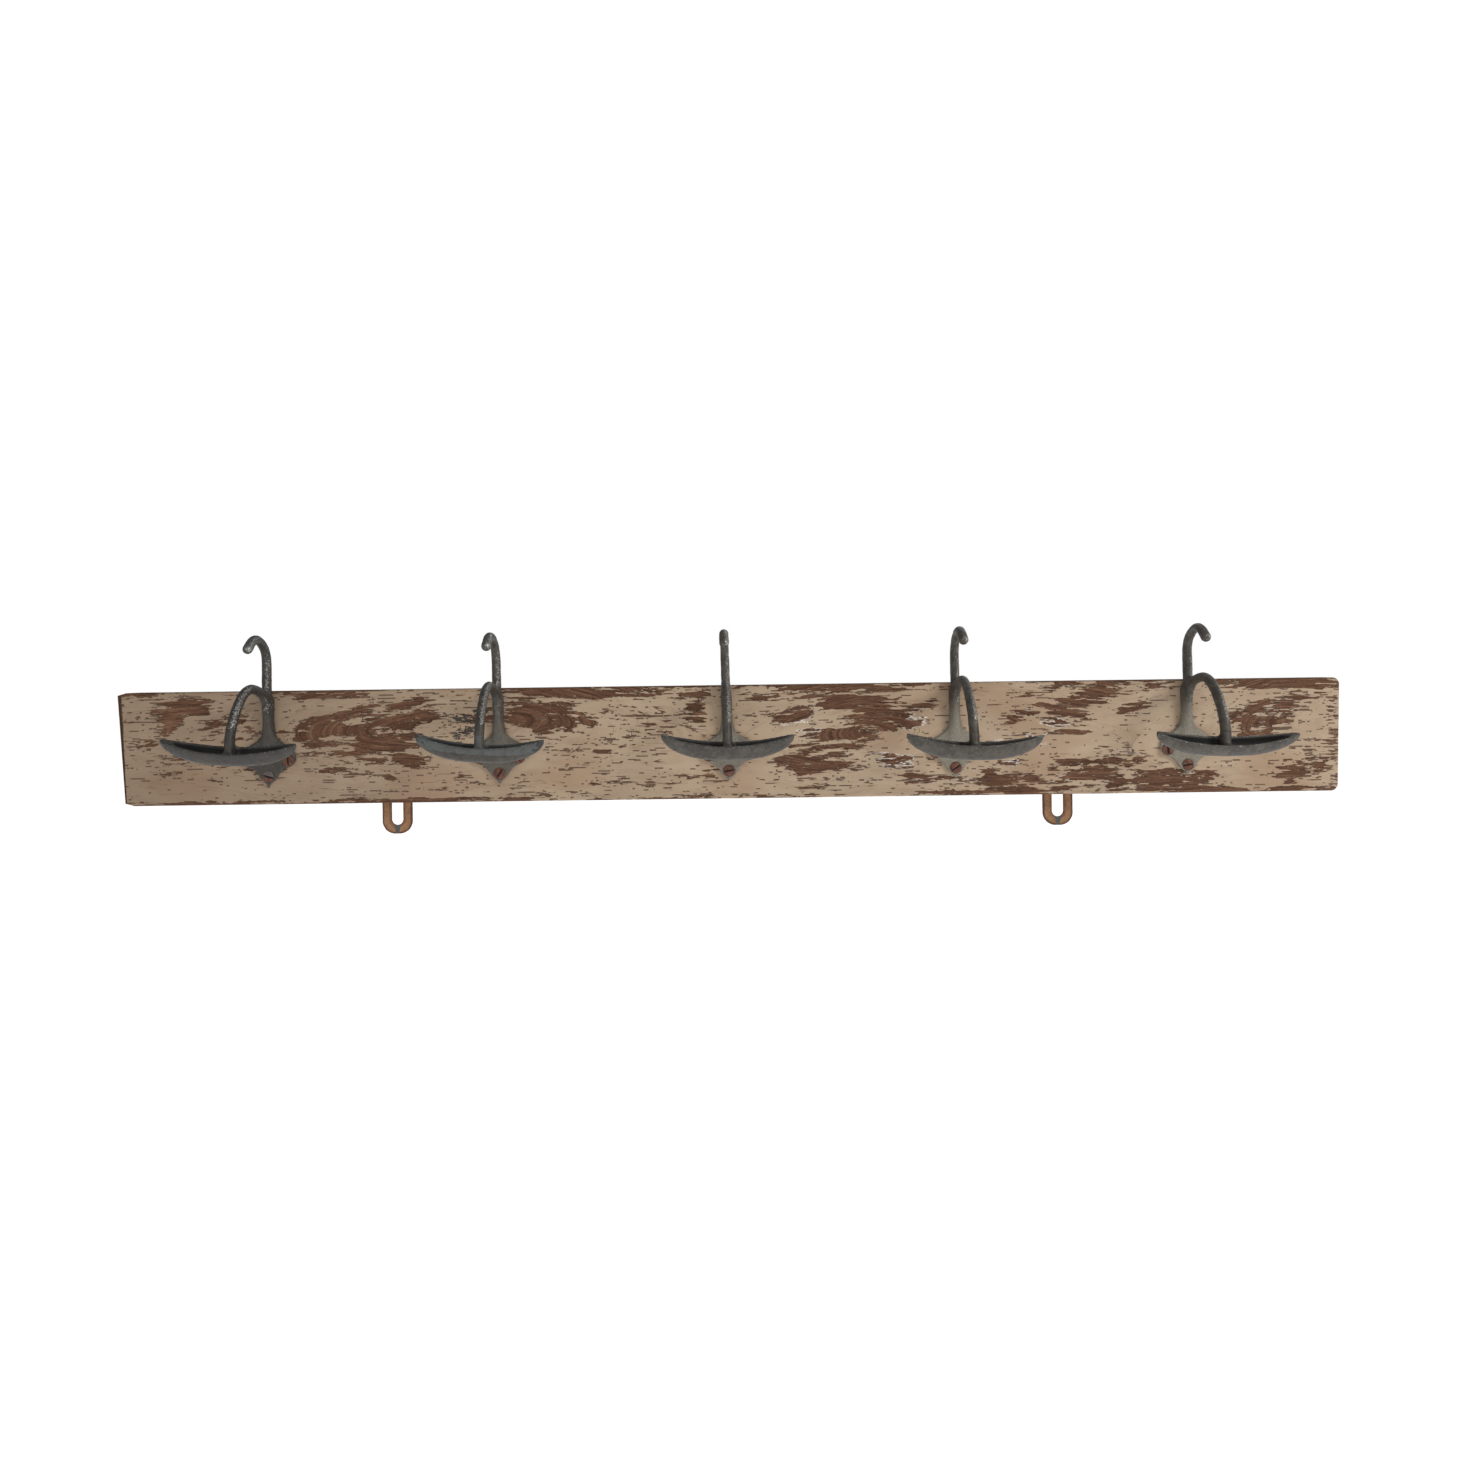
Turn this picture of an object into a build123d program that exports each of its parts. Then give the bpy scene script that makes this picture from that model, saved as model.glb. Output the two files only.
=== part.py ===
from build123d import *

import math
import os

# A wall hook rack: a painted plank with five cast hat-and-coat hooks, hung on two steel hanger plates.
# Millimetres. X runs along the plank, the front faces -Y, and Z is up.
# The origin is in the wall plane, at the middle of the plank's back face.

# Plank
BOARD_LENGTH = 1097.4
BOARD_HEIGHT = 102.0
BOARD_THICKNESS = 22.0
LEFT_END_SLANT = 3.3  # degrees: how far the sawn end leans outwards at its top
RIGHT_END_SLANT = 1.5
LEFT_CORNER_LENGTH = 8.0  # the two left corners are cut, along the plank and down its end
LEFT_CORNER_DROP = 2.3
RIGHT_CORNER_ROUND = 6.0
ARRIS_ROUND = 1.2

# The hooks from left to right. They were cast by hand and set by eye, so they are uneven.
# Leans and tilts are in degrees, clockwise as seen from the front, and both are measured from the plank.
HOOK_PLACES = (-414.6, -207.5, -1.8, 202.4, 410.8)
HOOK_LEANS = (0.8, -0.6, -1.4, -0.4, -0.5)
CUP_TILTS = (2.8, 3.4, 0.7, 1.5, 1.5)
CUP_PITCHES = (22.0, 9.0, 11.5, 8.5, 27.0)  # degrees: the front rim is the lower one
CUP_HEIGHTS = (3.9, 4.7, 4.0, 1.5, 1.0)
CUP_LENGTHS = (114.0, 109.0, 112.0, 115.0, 121.0)

# Back plate of a hook
PLATE_THICKNESS = 3.2
EAR_SCREW_OFFSET = 18.0
EAR_SCREW_HEIGHT = -11.5
FOOT_SCREW_HEIGHT = -25.5
EAR_RIM = 1.1
NECK_WIDTH = 11.8
NECK_HEIGHT = 15.4
FLARE_MIDDLE = (9.6, 6.8)
SHOULDER = (18.0, 1.7)
WAIST = (15.6, -18.2)
CHEEK_RIM = 3.4
TIP_RIM = 3.7
TIP_WIDTH = 4.4
NOSE_WIDTH = 1.3

# Stem of a hook: sections as height, width and depth, flat on the back and oval in front
STEM_SECTIONS = (
    (-14.0, 8.0, 4.0),
    (2.0, 17.0, 6.0),
    (15.0, 11.8, 8.2),
    (30.0, 9.8, 10.0),
    (46.0, 8.6, 11.0),
)
STEM_GAP = 0.4  # how far the bar's back stands off the plank's face plane

# Bar and crook: the upper peg, which bends forward and droops. Points are (out, up) from the hook's frame.
BAR_WIDTH = 8.0
BAR_DEPTH = 11.0
BAR_FOOT_HEIGHT = 34.0
BAR_STRAIGHT_HEIGHT = 70.0
CROOK_SHOULDER = (9.6, 87.0)
CROOK_TOP = (26.0, 96.6)
CROOK_TIP = (44.5, 88.0)
CROOK_TOP_DEPTH = 8.0
CROOK_TIP_DIAMETER = 8.8
CROOK_TIP_DIRECTION = (0.75, -0.66)
CROOK_SECTIONS = (  # share of the path, width and depth
    (0.0, BAR_WIDTH, BAR_DEPTH),
    (0.62, BAR_WIDTH, CROOK_TOP_DEPTH),
    (1.0, CROOK_TIP_DIAMETER, CROOK_TIP_DIAMETER),
)

# Loop: an arch from the stem down to the cup
LOOP_KNEE = (69.0, 31.5)
LOOP_TOP = (37.0, 53.6)
LOOP_SHOULDER = (20.0, 50.7)
LOOP_ROOT = (5.0, 42.0)
LOOP_ROOT_DIRECTION = (-0.77, -0.64)
LOOP_WIDTH = 8.0
LOOP_TOP_DEPTH = 8.4
LEG_DEPTH = 9.6
LEG_WIDTH = 8.8
LEG_OUT = 77.2
LEG_RISE = 10.0  # how far above the cup's rim the leg is at LEG_OUT
LEG_SINK = 9.2  # how far below the cup's rim the leg ends, in the floor of the trough
LOOP_SECTIONS = (  # share of the path from the leg's end, width and depth
    (0.0, LEG_WIDTH, LEG_DEPTH),
    (0.35, LOOP_WIDTH, LEG_DEPTH),
    (0.68, LOOP_WIDTH, LOOP_TOP_DEPTH),
    (1.0, LOOP_WIDTH, LOOP_TOP_DEPTH),
)
ROOT_WEB_FOOT = (7.0, 27.0)
ROOT_WEB_MIDDLE = (10.6, 39.0)
ROOT_WEB_END = (19.0, 46.5)
ROOT_WEB_WIDTH = 6.4

# Cup: the boat-shaped trough at the end of the loop
CUP_OUT = 78.8
CUP_WIDTH = 17.0
CUP_DEPTH = 14.1
CUP_RIM_RISE = 8.8
CUP_WALL = 2.4
TROUGH_DEPTH_SHARE = 0.62
CUP_END_SHARE = 0.985
CUP_STATIONS = (-1.0, -0.95, -0.84, -0.62, -0.32, 0.0, 0.32, 0.62, 0.84, 0.95, 1.0)
TROUGH_END_SHARE = 0.93
KEEL_POWER = 2.4  # how square the cup's keel line is: 2 would be an ellipse

# Wood screws through the hooks: raised countersunk, slotted
HOOK_SCREW_HEAD = 10.9
HOOK_SCREW_SHANK = 5.5
HOOK_SCREW_LENGTH = 20.0
HOOK_SCREW_DOME = 1.3
SCREW_SLOT_WIDTH = 1.4
SCREW_SLOT_DEPTH = 1.6
SCREW_HOLE_CLEARANCE = 0.25
CORE_SHARE = 0.74  # thread core over shank
PLAIN_SHARE = 0.4  # plain shank over whole length
POINT_SHARE = 0.25  # point over whole length
HOOK_SLOT_ANGLES = (
    (98.0, 95.0, -15.0),
    (82.0, 101.0, 57.0),
    (88.0, 94.0, 8.0),
    (95.0, 79.0, 33.0),
    (98.0, 93.0, 8.0),
)

# Hanger plates: flat steel, let into the back of the plank, slotted for a wall screw
HANGER_PLACES = (-306.5, 300.5)
HANGER_WIDTH = 27.8
HANGER_LENGTH = 72.0
HANGER_THICKNESS = 2.0
HANGER_DROP = 30.8
HANGER_END_FLAT = 3.8  # straight stretch in the middle of each round end
HANGER_END_ROUND = (HANGER_WIDTH - HANGER_END_FLAT) / 2
HANGER_SLOT_WIDTH = 10.4
HANGER_SLOT_LENGTH = 28.0
HANGER_SLOT_RIM = 8.1
REBATE_CLEARANCE = 0.3
HANGER_SCREW_HEAD = 8.0
HANGER_SCREW_SHANK = 4.0
HANGER_SCREW_LENGTH = 16.0
HANGER_SCREW_SPACING = 17.0
HANGER_SCREW_FROM_TOP = 10.0
HANGER_SLOT_ANGLES = ((20.0, 65.0), (-35.0, 5.0))

# A hook is drawn upright at the origin, with the plank's face as its XZ plane and its front towards -Y
SIDE_VIEW = Plane(origin=(0, 0, 0), x_dir=(0, -1, 0), z_dir=(-1, 0, 0))  # x is out and y is up

# Turns of a plane that faces up: its normal goes to the front, to the wall, or along its own y axis
FACING_FRONT = (90, 0, 0)
FACING_WALL = (-90, 0, 0)
ALONG_AXIS = (90, 0, 0)

os.makedirs("parts", exist_ok=True)


def finish(builder, name):
    """Label a finished piece and write it."""
    builder.part.label = name
    export_step(builder.part, f"parts/{name}.step")
    return builder.part


def hook_setting(place, lean):
    """Where a hook goes on the plank's face, leaning clockwise as seen from the front."""
    return Location((place, -BOARD_THICKNESS, 0), (0, lean, 0))


def hook_screw_places():
    """The places on the back plate's face where the three screw heads sit: left, right and bottom."""
    return (
        Location((-EAR_SCREW_OFFSET, -PLATE_THICKNESS, EAR_SCREW_HEIGHT), FACING_FRONT),
        Location((EAR_SCREW_OFFSET, -PLATE_THICKNESS, EAR_SCREW_HEIGHT), FACING_FRONT),
        Location((0, -PLATE_THICKNESS, FOOT_SCREW_HEIGHT), FACING_FRONT),
    )


def make_screw(name, seat, head, shank, length, dome, slot_angle):
    """A slotted countersunk wood screw. The rim of its head is flush with its seat, and it points along -z there."""
    head_radius = head / 2
    shank_radius = shank / 2
    core_radius = shank_radius * CORE_SHARE
    cone_bottom = shank_radius - head_radius
    plain_end = -length * PLAIN_SHARE
    core_start = plain_end - (shank_radius - core_radius)
    point_start = -length * (1 - POINT_SHARE)
    seat_plane = Plane(seat)
    profile_plane = Plane(seat * Location((0, 0, 0), ALONG_AXIS))
    slot_plane = Plane(seat * Location((0, 0, dome - SCREW_SLOT_DEPTH), (0, 0, slot_angle)))
    with BuildPart() as screw:
        with BuildSketch(profile_plane):
            with BuildLine():
                Polyline(
                    (0, 0),
                    (head_radius, 0),
                    (shank_radius, cone_bottom),
                    (shank_radius, plain_end),
                    (core_radius, core_start),
                    (core_radius, point_start),
                    (0, -length),
                    close=True,
                )
            make_face()
        revolve(axis=Axis(seat_plane.origin, seat_plane.z_dir))
        if dome:
            with BuildSketch(profile_plane):
                with BuildLine():
                    crown = SagittaArc((-head_radius, 0), (head_radius, 0), dome)
                    Line(crown @ 1, crown @ 0)
                make_face()
                split(bisect_by=Plane.YZ)
            revolve(axis=Axis(seat_plane.origin, seat_plane.z_dir))
        with BuildSketch(slot_plane):
            Rectangle(head, SCREW_SLOT_WIDTH)
        extrude(amount=2 * SCREW_SLOT_DEPTH, mode=Mode.SUBTRACT)
    return finish(screw, name)


def plate_outline():
    """The back plate's trefoil outline, drawn as its right half and mirrored: stem flare, ear and pointed foot."""
    head_radius = HOOK_SCREW_HEAD / 2
    neck = (NECK_WIDTH / 2, NECK_HEIGHT)
    ear_out = EAR_SCREW_OFFSET + head_radius + EAR_RIM
    ear_side = (ear_out, EAR_SCREW_HEIGHT + head_radius / 2)
    ear_top = ((SHOULDER[0] + ear_out) / 2 + EAR_RIM, (SHOULDER[1] + ear_side[1]) / 2 + EAR_RIM)
    heel = (ear_out - 3 * EAR_RIM, EAR_SCREW_HEIGHT - head_radius + EAR_RIM)
    cheek = (head_radius + CHEEK_RIM, FOOT_SCREW_HEIGHT + EAR_RIM)
    tip_bottom = FOOT_SCREW_HEIGHT - head_radius - TIP_RIM
    tip_side = (TIP_WIDTH, tip_bottom + TIP_WIDTH)
    nose = (NOSE_WIDTH, tip_bottom + NOSE_WIDTH / 2)
    Line((0, NECK_HEIGHT), neck)
    Spline(
        neck,
        FLARE_MIDDLE,
        SHOULDER,
        ear_top,
        ear_side,
        heel,
        WAIST,
        cheek,
        tip_side,
        nose,
        (0, tip_bottom),
        tangents=((0, -1), (-1, 0)),
    )
    mirror(about=Plane.YZ)


def back_plate():
    """The flat back plate, which lies on the plank's face."""
    with BuildPart() as plate:
        with BuildSketch(Plane.XZ):
            with BuildLine():
                plate_outline()
            make_face()
        extrude(amount=PLATE_THICKNESS)
    return plate.part


def stem_body():
    """The stem, which rises out of the plate and narrows into the bar."""
    with BuildPart() as stem:
        for height, width, depth in STEM_SECTIONS:
            with BuildSketch(Plane(origin=(0, 0, height), x_dir=(-1, 0, 0), z_dir=(0, 0, 1))):
                with BuildLine():
                    EllipticalCenterArc((0, 0), width / 2, depth, start_angle=0, arc_size=180)
                    Line((-width / 2, 0), (width / 2, 0))
                make_face()
        loft()
    return stem.part


def swept_bar(path, sections):
    """A bar along a path in the side view. A section is its share of the path, its width and its depth."""
    with BuildPart() as bar:
        for share, width, depth in sections:
            with BuildSketch(Plane(path @ share, x_dir=(1, 0, 0), z_dir=path % share)):
                Ellipse(width / 2, depth / 2)
        sweep(path=path, multisection=True)
    return bar.part


def straight_bar():
    """The straight bar that carries on from the stem up to the crook."""
    with BuildPart() as bar:
        with BuildSketch(Plane.XY.offset(BAR_FOOT_HEIGHT)):
            with Locations((0, -STEM_GAP - BAR_DEPTH / 2)):
                Ellipse(BAR_WIDTH / 2, BAR_DEPTH / 2)
        extrude(amount=BAR_STRAIGHT_HEIGHT - BAR_FOOT_HEIGHT)
    return bar.part


def crook_path():
    """Centre line of the crook, which bends forward from the top of the bar and droops."""
    bar_out = STEM_GAP + BAR_DEPTH / 2
    with BuildLine(SIDE_VIEW) as route:
        Spline(
            (bar_out, BAR_STRAIGHT_HEIGHT),
            CROOK_SHOULDER,
            CROOK_TOP,
            CROOK_TIP,
            tangents=((0, 1), CROOK_TIP_DIRECTION),
        )
    return route.wires()[0]


def loop_path(cup_height, cup_pitch):
    """Centre line of the loop, from the leg's end in the floor of the trough, over its top and back to the stem."""
    lean_back = math.sin(math.radians(cup_pitch))
    upright = math.cos(math.radians(cup_pitch))
    with BuildLine(SIDE_VIEW) as route:
        Spline(
            (CUP_OUT - LEG_SINK * lean_back, cup_height - LEG_SINK * upright),
            (LEG_OUT, cup_height + LEG_RISE),
            LOOP_KNEE,
            LOOP_TOP,
            LOOP_SHOULDER,
            LOOP_ROOT,
            tangents=((lean_back, upright), LOOP_ROOT_DIRECTION),
        )
    return route.wires()[0]


def root_web():
    """The web that rounds the corner between the stem and the underside of the loop."""
    with BuildPart() as web:
        with BuildSketch(SIDE_VIEW):
            with BuildLine():
                ThreePointArc(ROOT_WEB_FOOT, ROOT_WEB_MIDDLE, ROOT_WEB_END)
                Polyline(
                    ROOT_WEB_END,
                    (LOOP_ROOT[0], ROOT_WEB_END[1]),
                    (LOOP_ROOT[0], ROOT_WEB_FOOT[1]),
                    ROOT_WEB_FOOT,
                )
            make_face()
        extrude(amount=ROOT_WEB_WIDTH / 2, both=True)
    return web.part


def cup_rim_height(share):
    """Height of the rim above its middle, at a share of the half length."""
    return CUP_RIM_RISE * share**2


def cup_depth(share):
    """Depth from rim to keel, which is nothing at the very tip."""
    keel_rise = (CUP_DEPTH + CUP_RIM_RISE) * (1 - (1 - abs(share) ** KEEL_POWER) ** 0.5)
    return CUP_DEPTH + cup_rim_height(share) - keel_rise


def cup_half_width(share):
    """Half the cup's width at a share of the half length, which makes its plan an ellipse."""
    return CUP_WIDTH / 2 * (1 - share**2) ** 0.5


def cup_section(share, length):
    """The plane across the cup at a share of the half length, where x is out and y is up."""
    return Plane(
        origin=(share * length / 2, 0, cup_rim_height(share)),
        x_dir=SIDE_VIEW.x_dir,
        z_dir=SIDE_VIEW.z_dir,
    )


def cup_body(length):
    """The boat-shaped cup with its trough, both lofted through sections along its length. Its rim is level."""
    with BuildPart() as cup:
        for station in CUP_STATIONS:
            share = station * CUP_END_SHARE
            half_width = cup_half_width(share)
            with BuildSketch(cup_section(share, length)):
                with BuildLine():
                    EllipticalCenterArc((0, 0), half_width, cup_depth(share), start_angle=180, arc_size=180)
                    Line((half_width, 0), (-half_width, 0))
                make_face()
        loft()
        for station in CUP_STATIONS:
            share = station * TROUGH_END_SHARE
            with BuildSketch(cup_section(share, length)):
                Ellipse(cup_half_width(share) - CUP_WALL, cup_depth(share) * TROUGH_DEPTH_SHARE)
        loft(mode=Mode.SUBTRACT)
    return cup.part


def make_hook(number, setting, cup_turn, cup_pitch, cup_height, cup_length):
    """One cast hook: back plate, stem, crook, loop and cup in a single piece, drilled for its screws."""
    crook = crook_path()
    with BuildPart() as casting:
        add(back_plate())
        add(stem_body())
        add(straight_bar())
        add(swept_bar(crook, CROOK_SECTIONS))
        with Locations(crook @ 1):
            Sphere(CROOK_TIP_DIAMETER / 2)
        with Locations(Location((0, -CUP_OUT, cup_height), (cup_pitch, cup_turn, 0))):
            add(cup_body(cup_length))
        add(swept_bar(loop_path(cup_height, cup_pitch), LOOP_SECTIONS))
        add(root_web())
        with Locations(*hook_screw_places()):
            CounterSinkHole(
                radius=HOOK_SCREW_SHANK / 2 + SCREW_HOLE_CLEARANCE,
                counter_sink_radius=HOOK_SCREW_HEAD / 2,
                depth=PLATE_THICKNESS,
                counter_sink_angle=90,
            )
    with BuildPart() as hook:
        with Locations(setting):
            add(casting.part)
    finish(hook, f"hook_{number}")


def hanger_bottom():
    """Height of the hanger plates' lower ends."""
    return -BOARD_HEIGHT / 2 - HANGER_DROP


def hanger_screw_seats(place):
    """The places on a hanger plate's back where its two screw heads sit: upper and lower."""
    upper = hanger_bottom() + HANGER_LENGTH - HANGER_SCREW_FROM_TOP
    lower = upper - HANGER_SCREW_SPACING
    return (Location((place, 0, upper), FACING_WALL), Location((place, 0, lower), FACING_WALL))


def make_hanger_plate(side, place):
    """A flat steel strip with round ends, a long slot below and two countersunk holes above."""
    middle = hanger_bottom() + HANGER_LENGTH / 2
    slot_middle = hanger_bottom() + HANGER_SLOT_RIM + HANGER_SLOT_LENGTH / 2
    with BuildPart() as plate:
        with BuildSketch(Plane(Location((place, 0, middle), FACING_FRONT))):
            RectangleRounded(HANGER_WIDTH, HANGER_LENGTH, HANGER_END_ROUND)
            with Locations((0, slot_middle - middle)):
                SlotOverall(HANGER_SLOT_LENGTH, HANGER_SLOT_WIDTH, rotation=90, mode=Mode.SUBTRACT)
        extrude(amount=HANGER_THICKNESS)
        with Locations(*hanger_screw_seats(place)):
            CounterSinkHole(
                radius=HANGER_SCREW_SHANK / 2,
                counter_sink_radius=HANGER_SCREW_HEAD / 2,
                depth=HANGER_THICKNESS,
                counter_sink_angle=90,
            )
    return finish(plate, f"hanger_plate_{side}")


def make_board(screws):
    """The plank: sawn ends, eased front edges, rebates for the hanger plates and a hole for every screw."""
    half_length = BOARD_LENGTH / 2
    half_height = BOARD_HEIGHT / 2
    left_lean = half_height * math.tan(math.radians(LEFT_END_SLANT))
    right_lean = half_height * math.tan(math.radians(RIGHT_END_SLANT))
    top_left = -half_length - left_lean
    bottom_left = -half_length + left_lean
    with BuildPart() as board:
        with BuildSketch(Plane.XZ) as face:
            Polygon(
                (bottom_left + LEFT_CORNER_LENGTH, -half_height),
                (half_length - right_lean, -half_height),
                (half_length + right_lean, half_height),
                (top_left + LEFT_CORNER_LENGTH, half_height),
                (top_left, half_height - LEFT_CORNER_DROP),
                (bottom_left, -half_height + LEFT_CORNER_DROP),
                align=None,
            )
            fillet(face.vertices().sort_by(Axis.X)[-2:], RIGHT_CORNER_ROUND)
        plank = extrude(amount=BOARD_THICKNESS)
        fillet(plank.edges().group_by(Axis.Y)[0], ARRIS_ROUND)
        for place in HANGER_PLACES:
            middle = hanger_bottom() + HANGER_LENGTH / 2
            with BuildSketch(Plane(Location((place, 0, middle), FACING_FRONT))):
                RectangleRounded(
                    HANGER_WIDTH + 2 * REBATE_CLEARANCE,
                    HANGER_LENGTH + 2 * REBATE_CLEARANCE,
                    HANGER_END_ROUND + REBATE_CLEARANCE,
                )
            extrude(amount=HANGER_THICKNESS, mode=Mode.SUBTRACT)
        for screw in screws:
            add(screw, mode=Mode.SUBTRACT)
    return finish(board, "board")


def make_hook_set():
    """The five hooks and the three screws through each. Returns the screws."""
    screws = []
    hooks = zip(HOOK_PLACES, HOOK_LEANS, HOOK_SLOT_ANGLES)
    cups = zip(CUP_TILTS, CUP_PITCHES, CUP_HEIGHTS, CUP_LENGTHS)
    for number, (hook, cup) in enumerate(zip(hooks, cups), start=1):
        place, lean, slot_angles = hook
        cup_tilt, cup_pitch, cup_height, cup_length = cup
        setting = hook_setting(place, lean)
        make_hook(number, setting, cup_tilt - lean, cup_pitch, cup_height, cup_length)
        for corner, seat, slot_angle in zip(("left", "right", "bottom"), hook_screw_places(), slot_angles):
            screws.append(
                make_screw(
                    f"hook_{number}_screw_{corner}",
                    setting * seat,
                    HOOK_SCREW_HEAD,
                    HOOK_SCREW_SHANK,
                    HOOK_SCREW_LENGTH,
                    HOOK_SCREW_DOME,
                    slot_angle,
                )
            )
    return screws


def make_hanger_set():
    """The two hanger plates and the two screws through each. Returns the screws."""
    screws = []
    for side, place, slot_angles in zip(("left", "right"), HANGER_PLACES, HANGER_SLOT_ANGLES):
        make_hanger_plate(side, place)
        for level, seat, slot_angle in zip(("upper", "lower"), hanger_screw_seats(place), slot_angles):
            screws.append(
                make_screw(
                    f"hanger_{side}_screw_{level}",
                    seat,
                    HANGER_SCREW_HEAD,
                    HANGER_SCREW_SHANK,
                    HANGER_SCREW_LENGTH,
                    0,
                    slot_angle,
                )
            )
    return screws


make_board(make_hook_set() + make_hanger_set())
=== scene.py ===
"""The looks of an old wall hook rack: a plank with flaking cream paint, dark castings and rusty steel."""

import itertools
import math

import bpy
import numpy as np
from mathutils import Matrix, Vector


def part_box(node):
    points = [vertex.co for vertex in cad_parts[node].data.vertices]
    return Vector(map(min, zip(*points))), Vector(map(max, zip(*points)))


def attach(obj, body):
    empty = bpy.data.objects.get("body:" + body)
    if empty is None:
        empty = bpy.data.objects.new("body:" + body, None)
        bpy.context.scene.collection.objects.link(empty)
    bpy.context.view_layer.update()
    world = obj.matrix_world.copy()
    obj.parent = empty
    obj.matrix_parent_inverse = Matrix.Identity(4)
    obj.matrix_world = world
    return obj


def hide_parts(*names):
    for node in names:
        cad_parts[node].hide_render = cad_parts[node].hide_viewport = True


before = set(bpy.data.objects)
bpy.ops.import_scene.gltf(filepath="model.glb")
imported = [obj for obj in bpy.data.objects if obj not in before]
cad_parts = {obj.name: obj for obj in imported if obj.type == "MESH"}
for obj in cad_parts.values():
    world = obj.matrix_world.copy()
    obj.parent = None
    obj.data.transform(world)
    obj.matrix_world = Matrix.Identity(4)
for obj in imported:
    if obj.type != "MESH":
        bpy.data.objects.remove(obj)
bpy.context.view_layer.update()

MM = 0.001
SEED = 1950
CURVATURE_ROUNDS = 3
WELD_DISTANCE = 0.01 * MM

# Plank, as part.py has it
BOARD_HALF_LENGTH = 548.7 * MM
BOARD_HALF_HEIGHT = 51 * MM
BOARD_THICKNESS = 22 * MM
LEFT_END_SLANT = math.tan(math.radians(3.3))
RIGHT_END_SLANT = math.tan(math.radians(1.5))
LEFT_CORNER_LENGTH = 8 * MM
LEFT_CORNER_DROP = 2.3 * MM
RIGHT_CORNER_ROUND = 6 * MM

# Plank mesh
COLUMN = 1.6 * MM  # spacing along the plank
END_COLUMN = 0.8 * MM  # spacing in the last few millimetres of each end
END_ZONE = 9.6 * MM
ROW = 0.8 * MM  # spacing up the plank
COARSE = 4  # fine steps in one step of the back and edges
ARRIS_ROUND = 1.4 * MM
ARRIS_STEPS = 3
EDGE_STEPS = 5
SAW_BEVEL_TOP = 4.3 * MM  # the broken arris of the left end, which narrows downwards
SAW_BEVEL_BOTTOM = 1.9 * MM
SAW_BEVEL_DEPTH = 2.2 * MM
PAINT_THICKNESS = 0.32 * MM
GRAIN_RELIEF = 0.16 * MM

# Height of the heart line and its depth behind the face at stations along the plank.
# They shape the growth rings.
GRAIN_STATIONS = MM * np.array(
    (-560, -470, -400, -330, -250, -170, -80, 0, 70, 120, 200, 290, 360, 430, 490, 560)
)
HEART_HEIGHT = np.array((18, 16, 12, 14, 16, 24, 10, 0, 4, 8, 6, -2, -8, 2, 12, 10)) * MM
HEART_DEPTH = np.array((46, 44, 34, 20, 9, 20, 34, 38, 22, 9, 20, 36, 40, 28, 12, 8)) * MM

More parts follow.
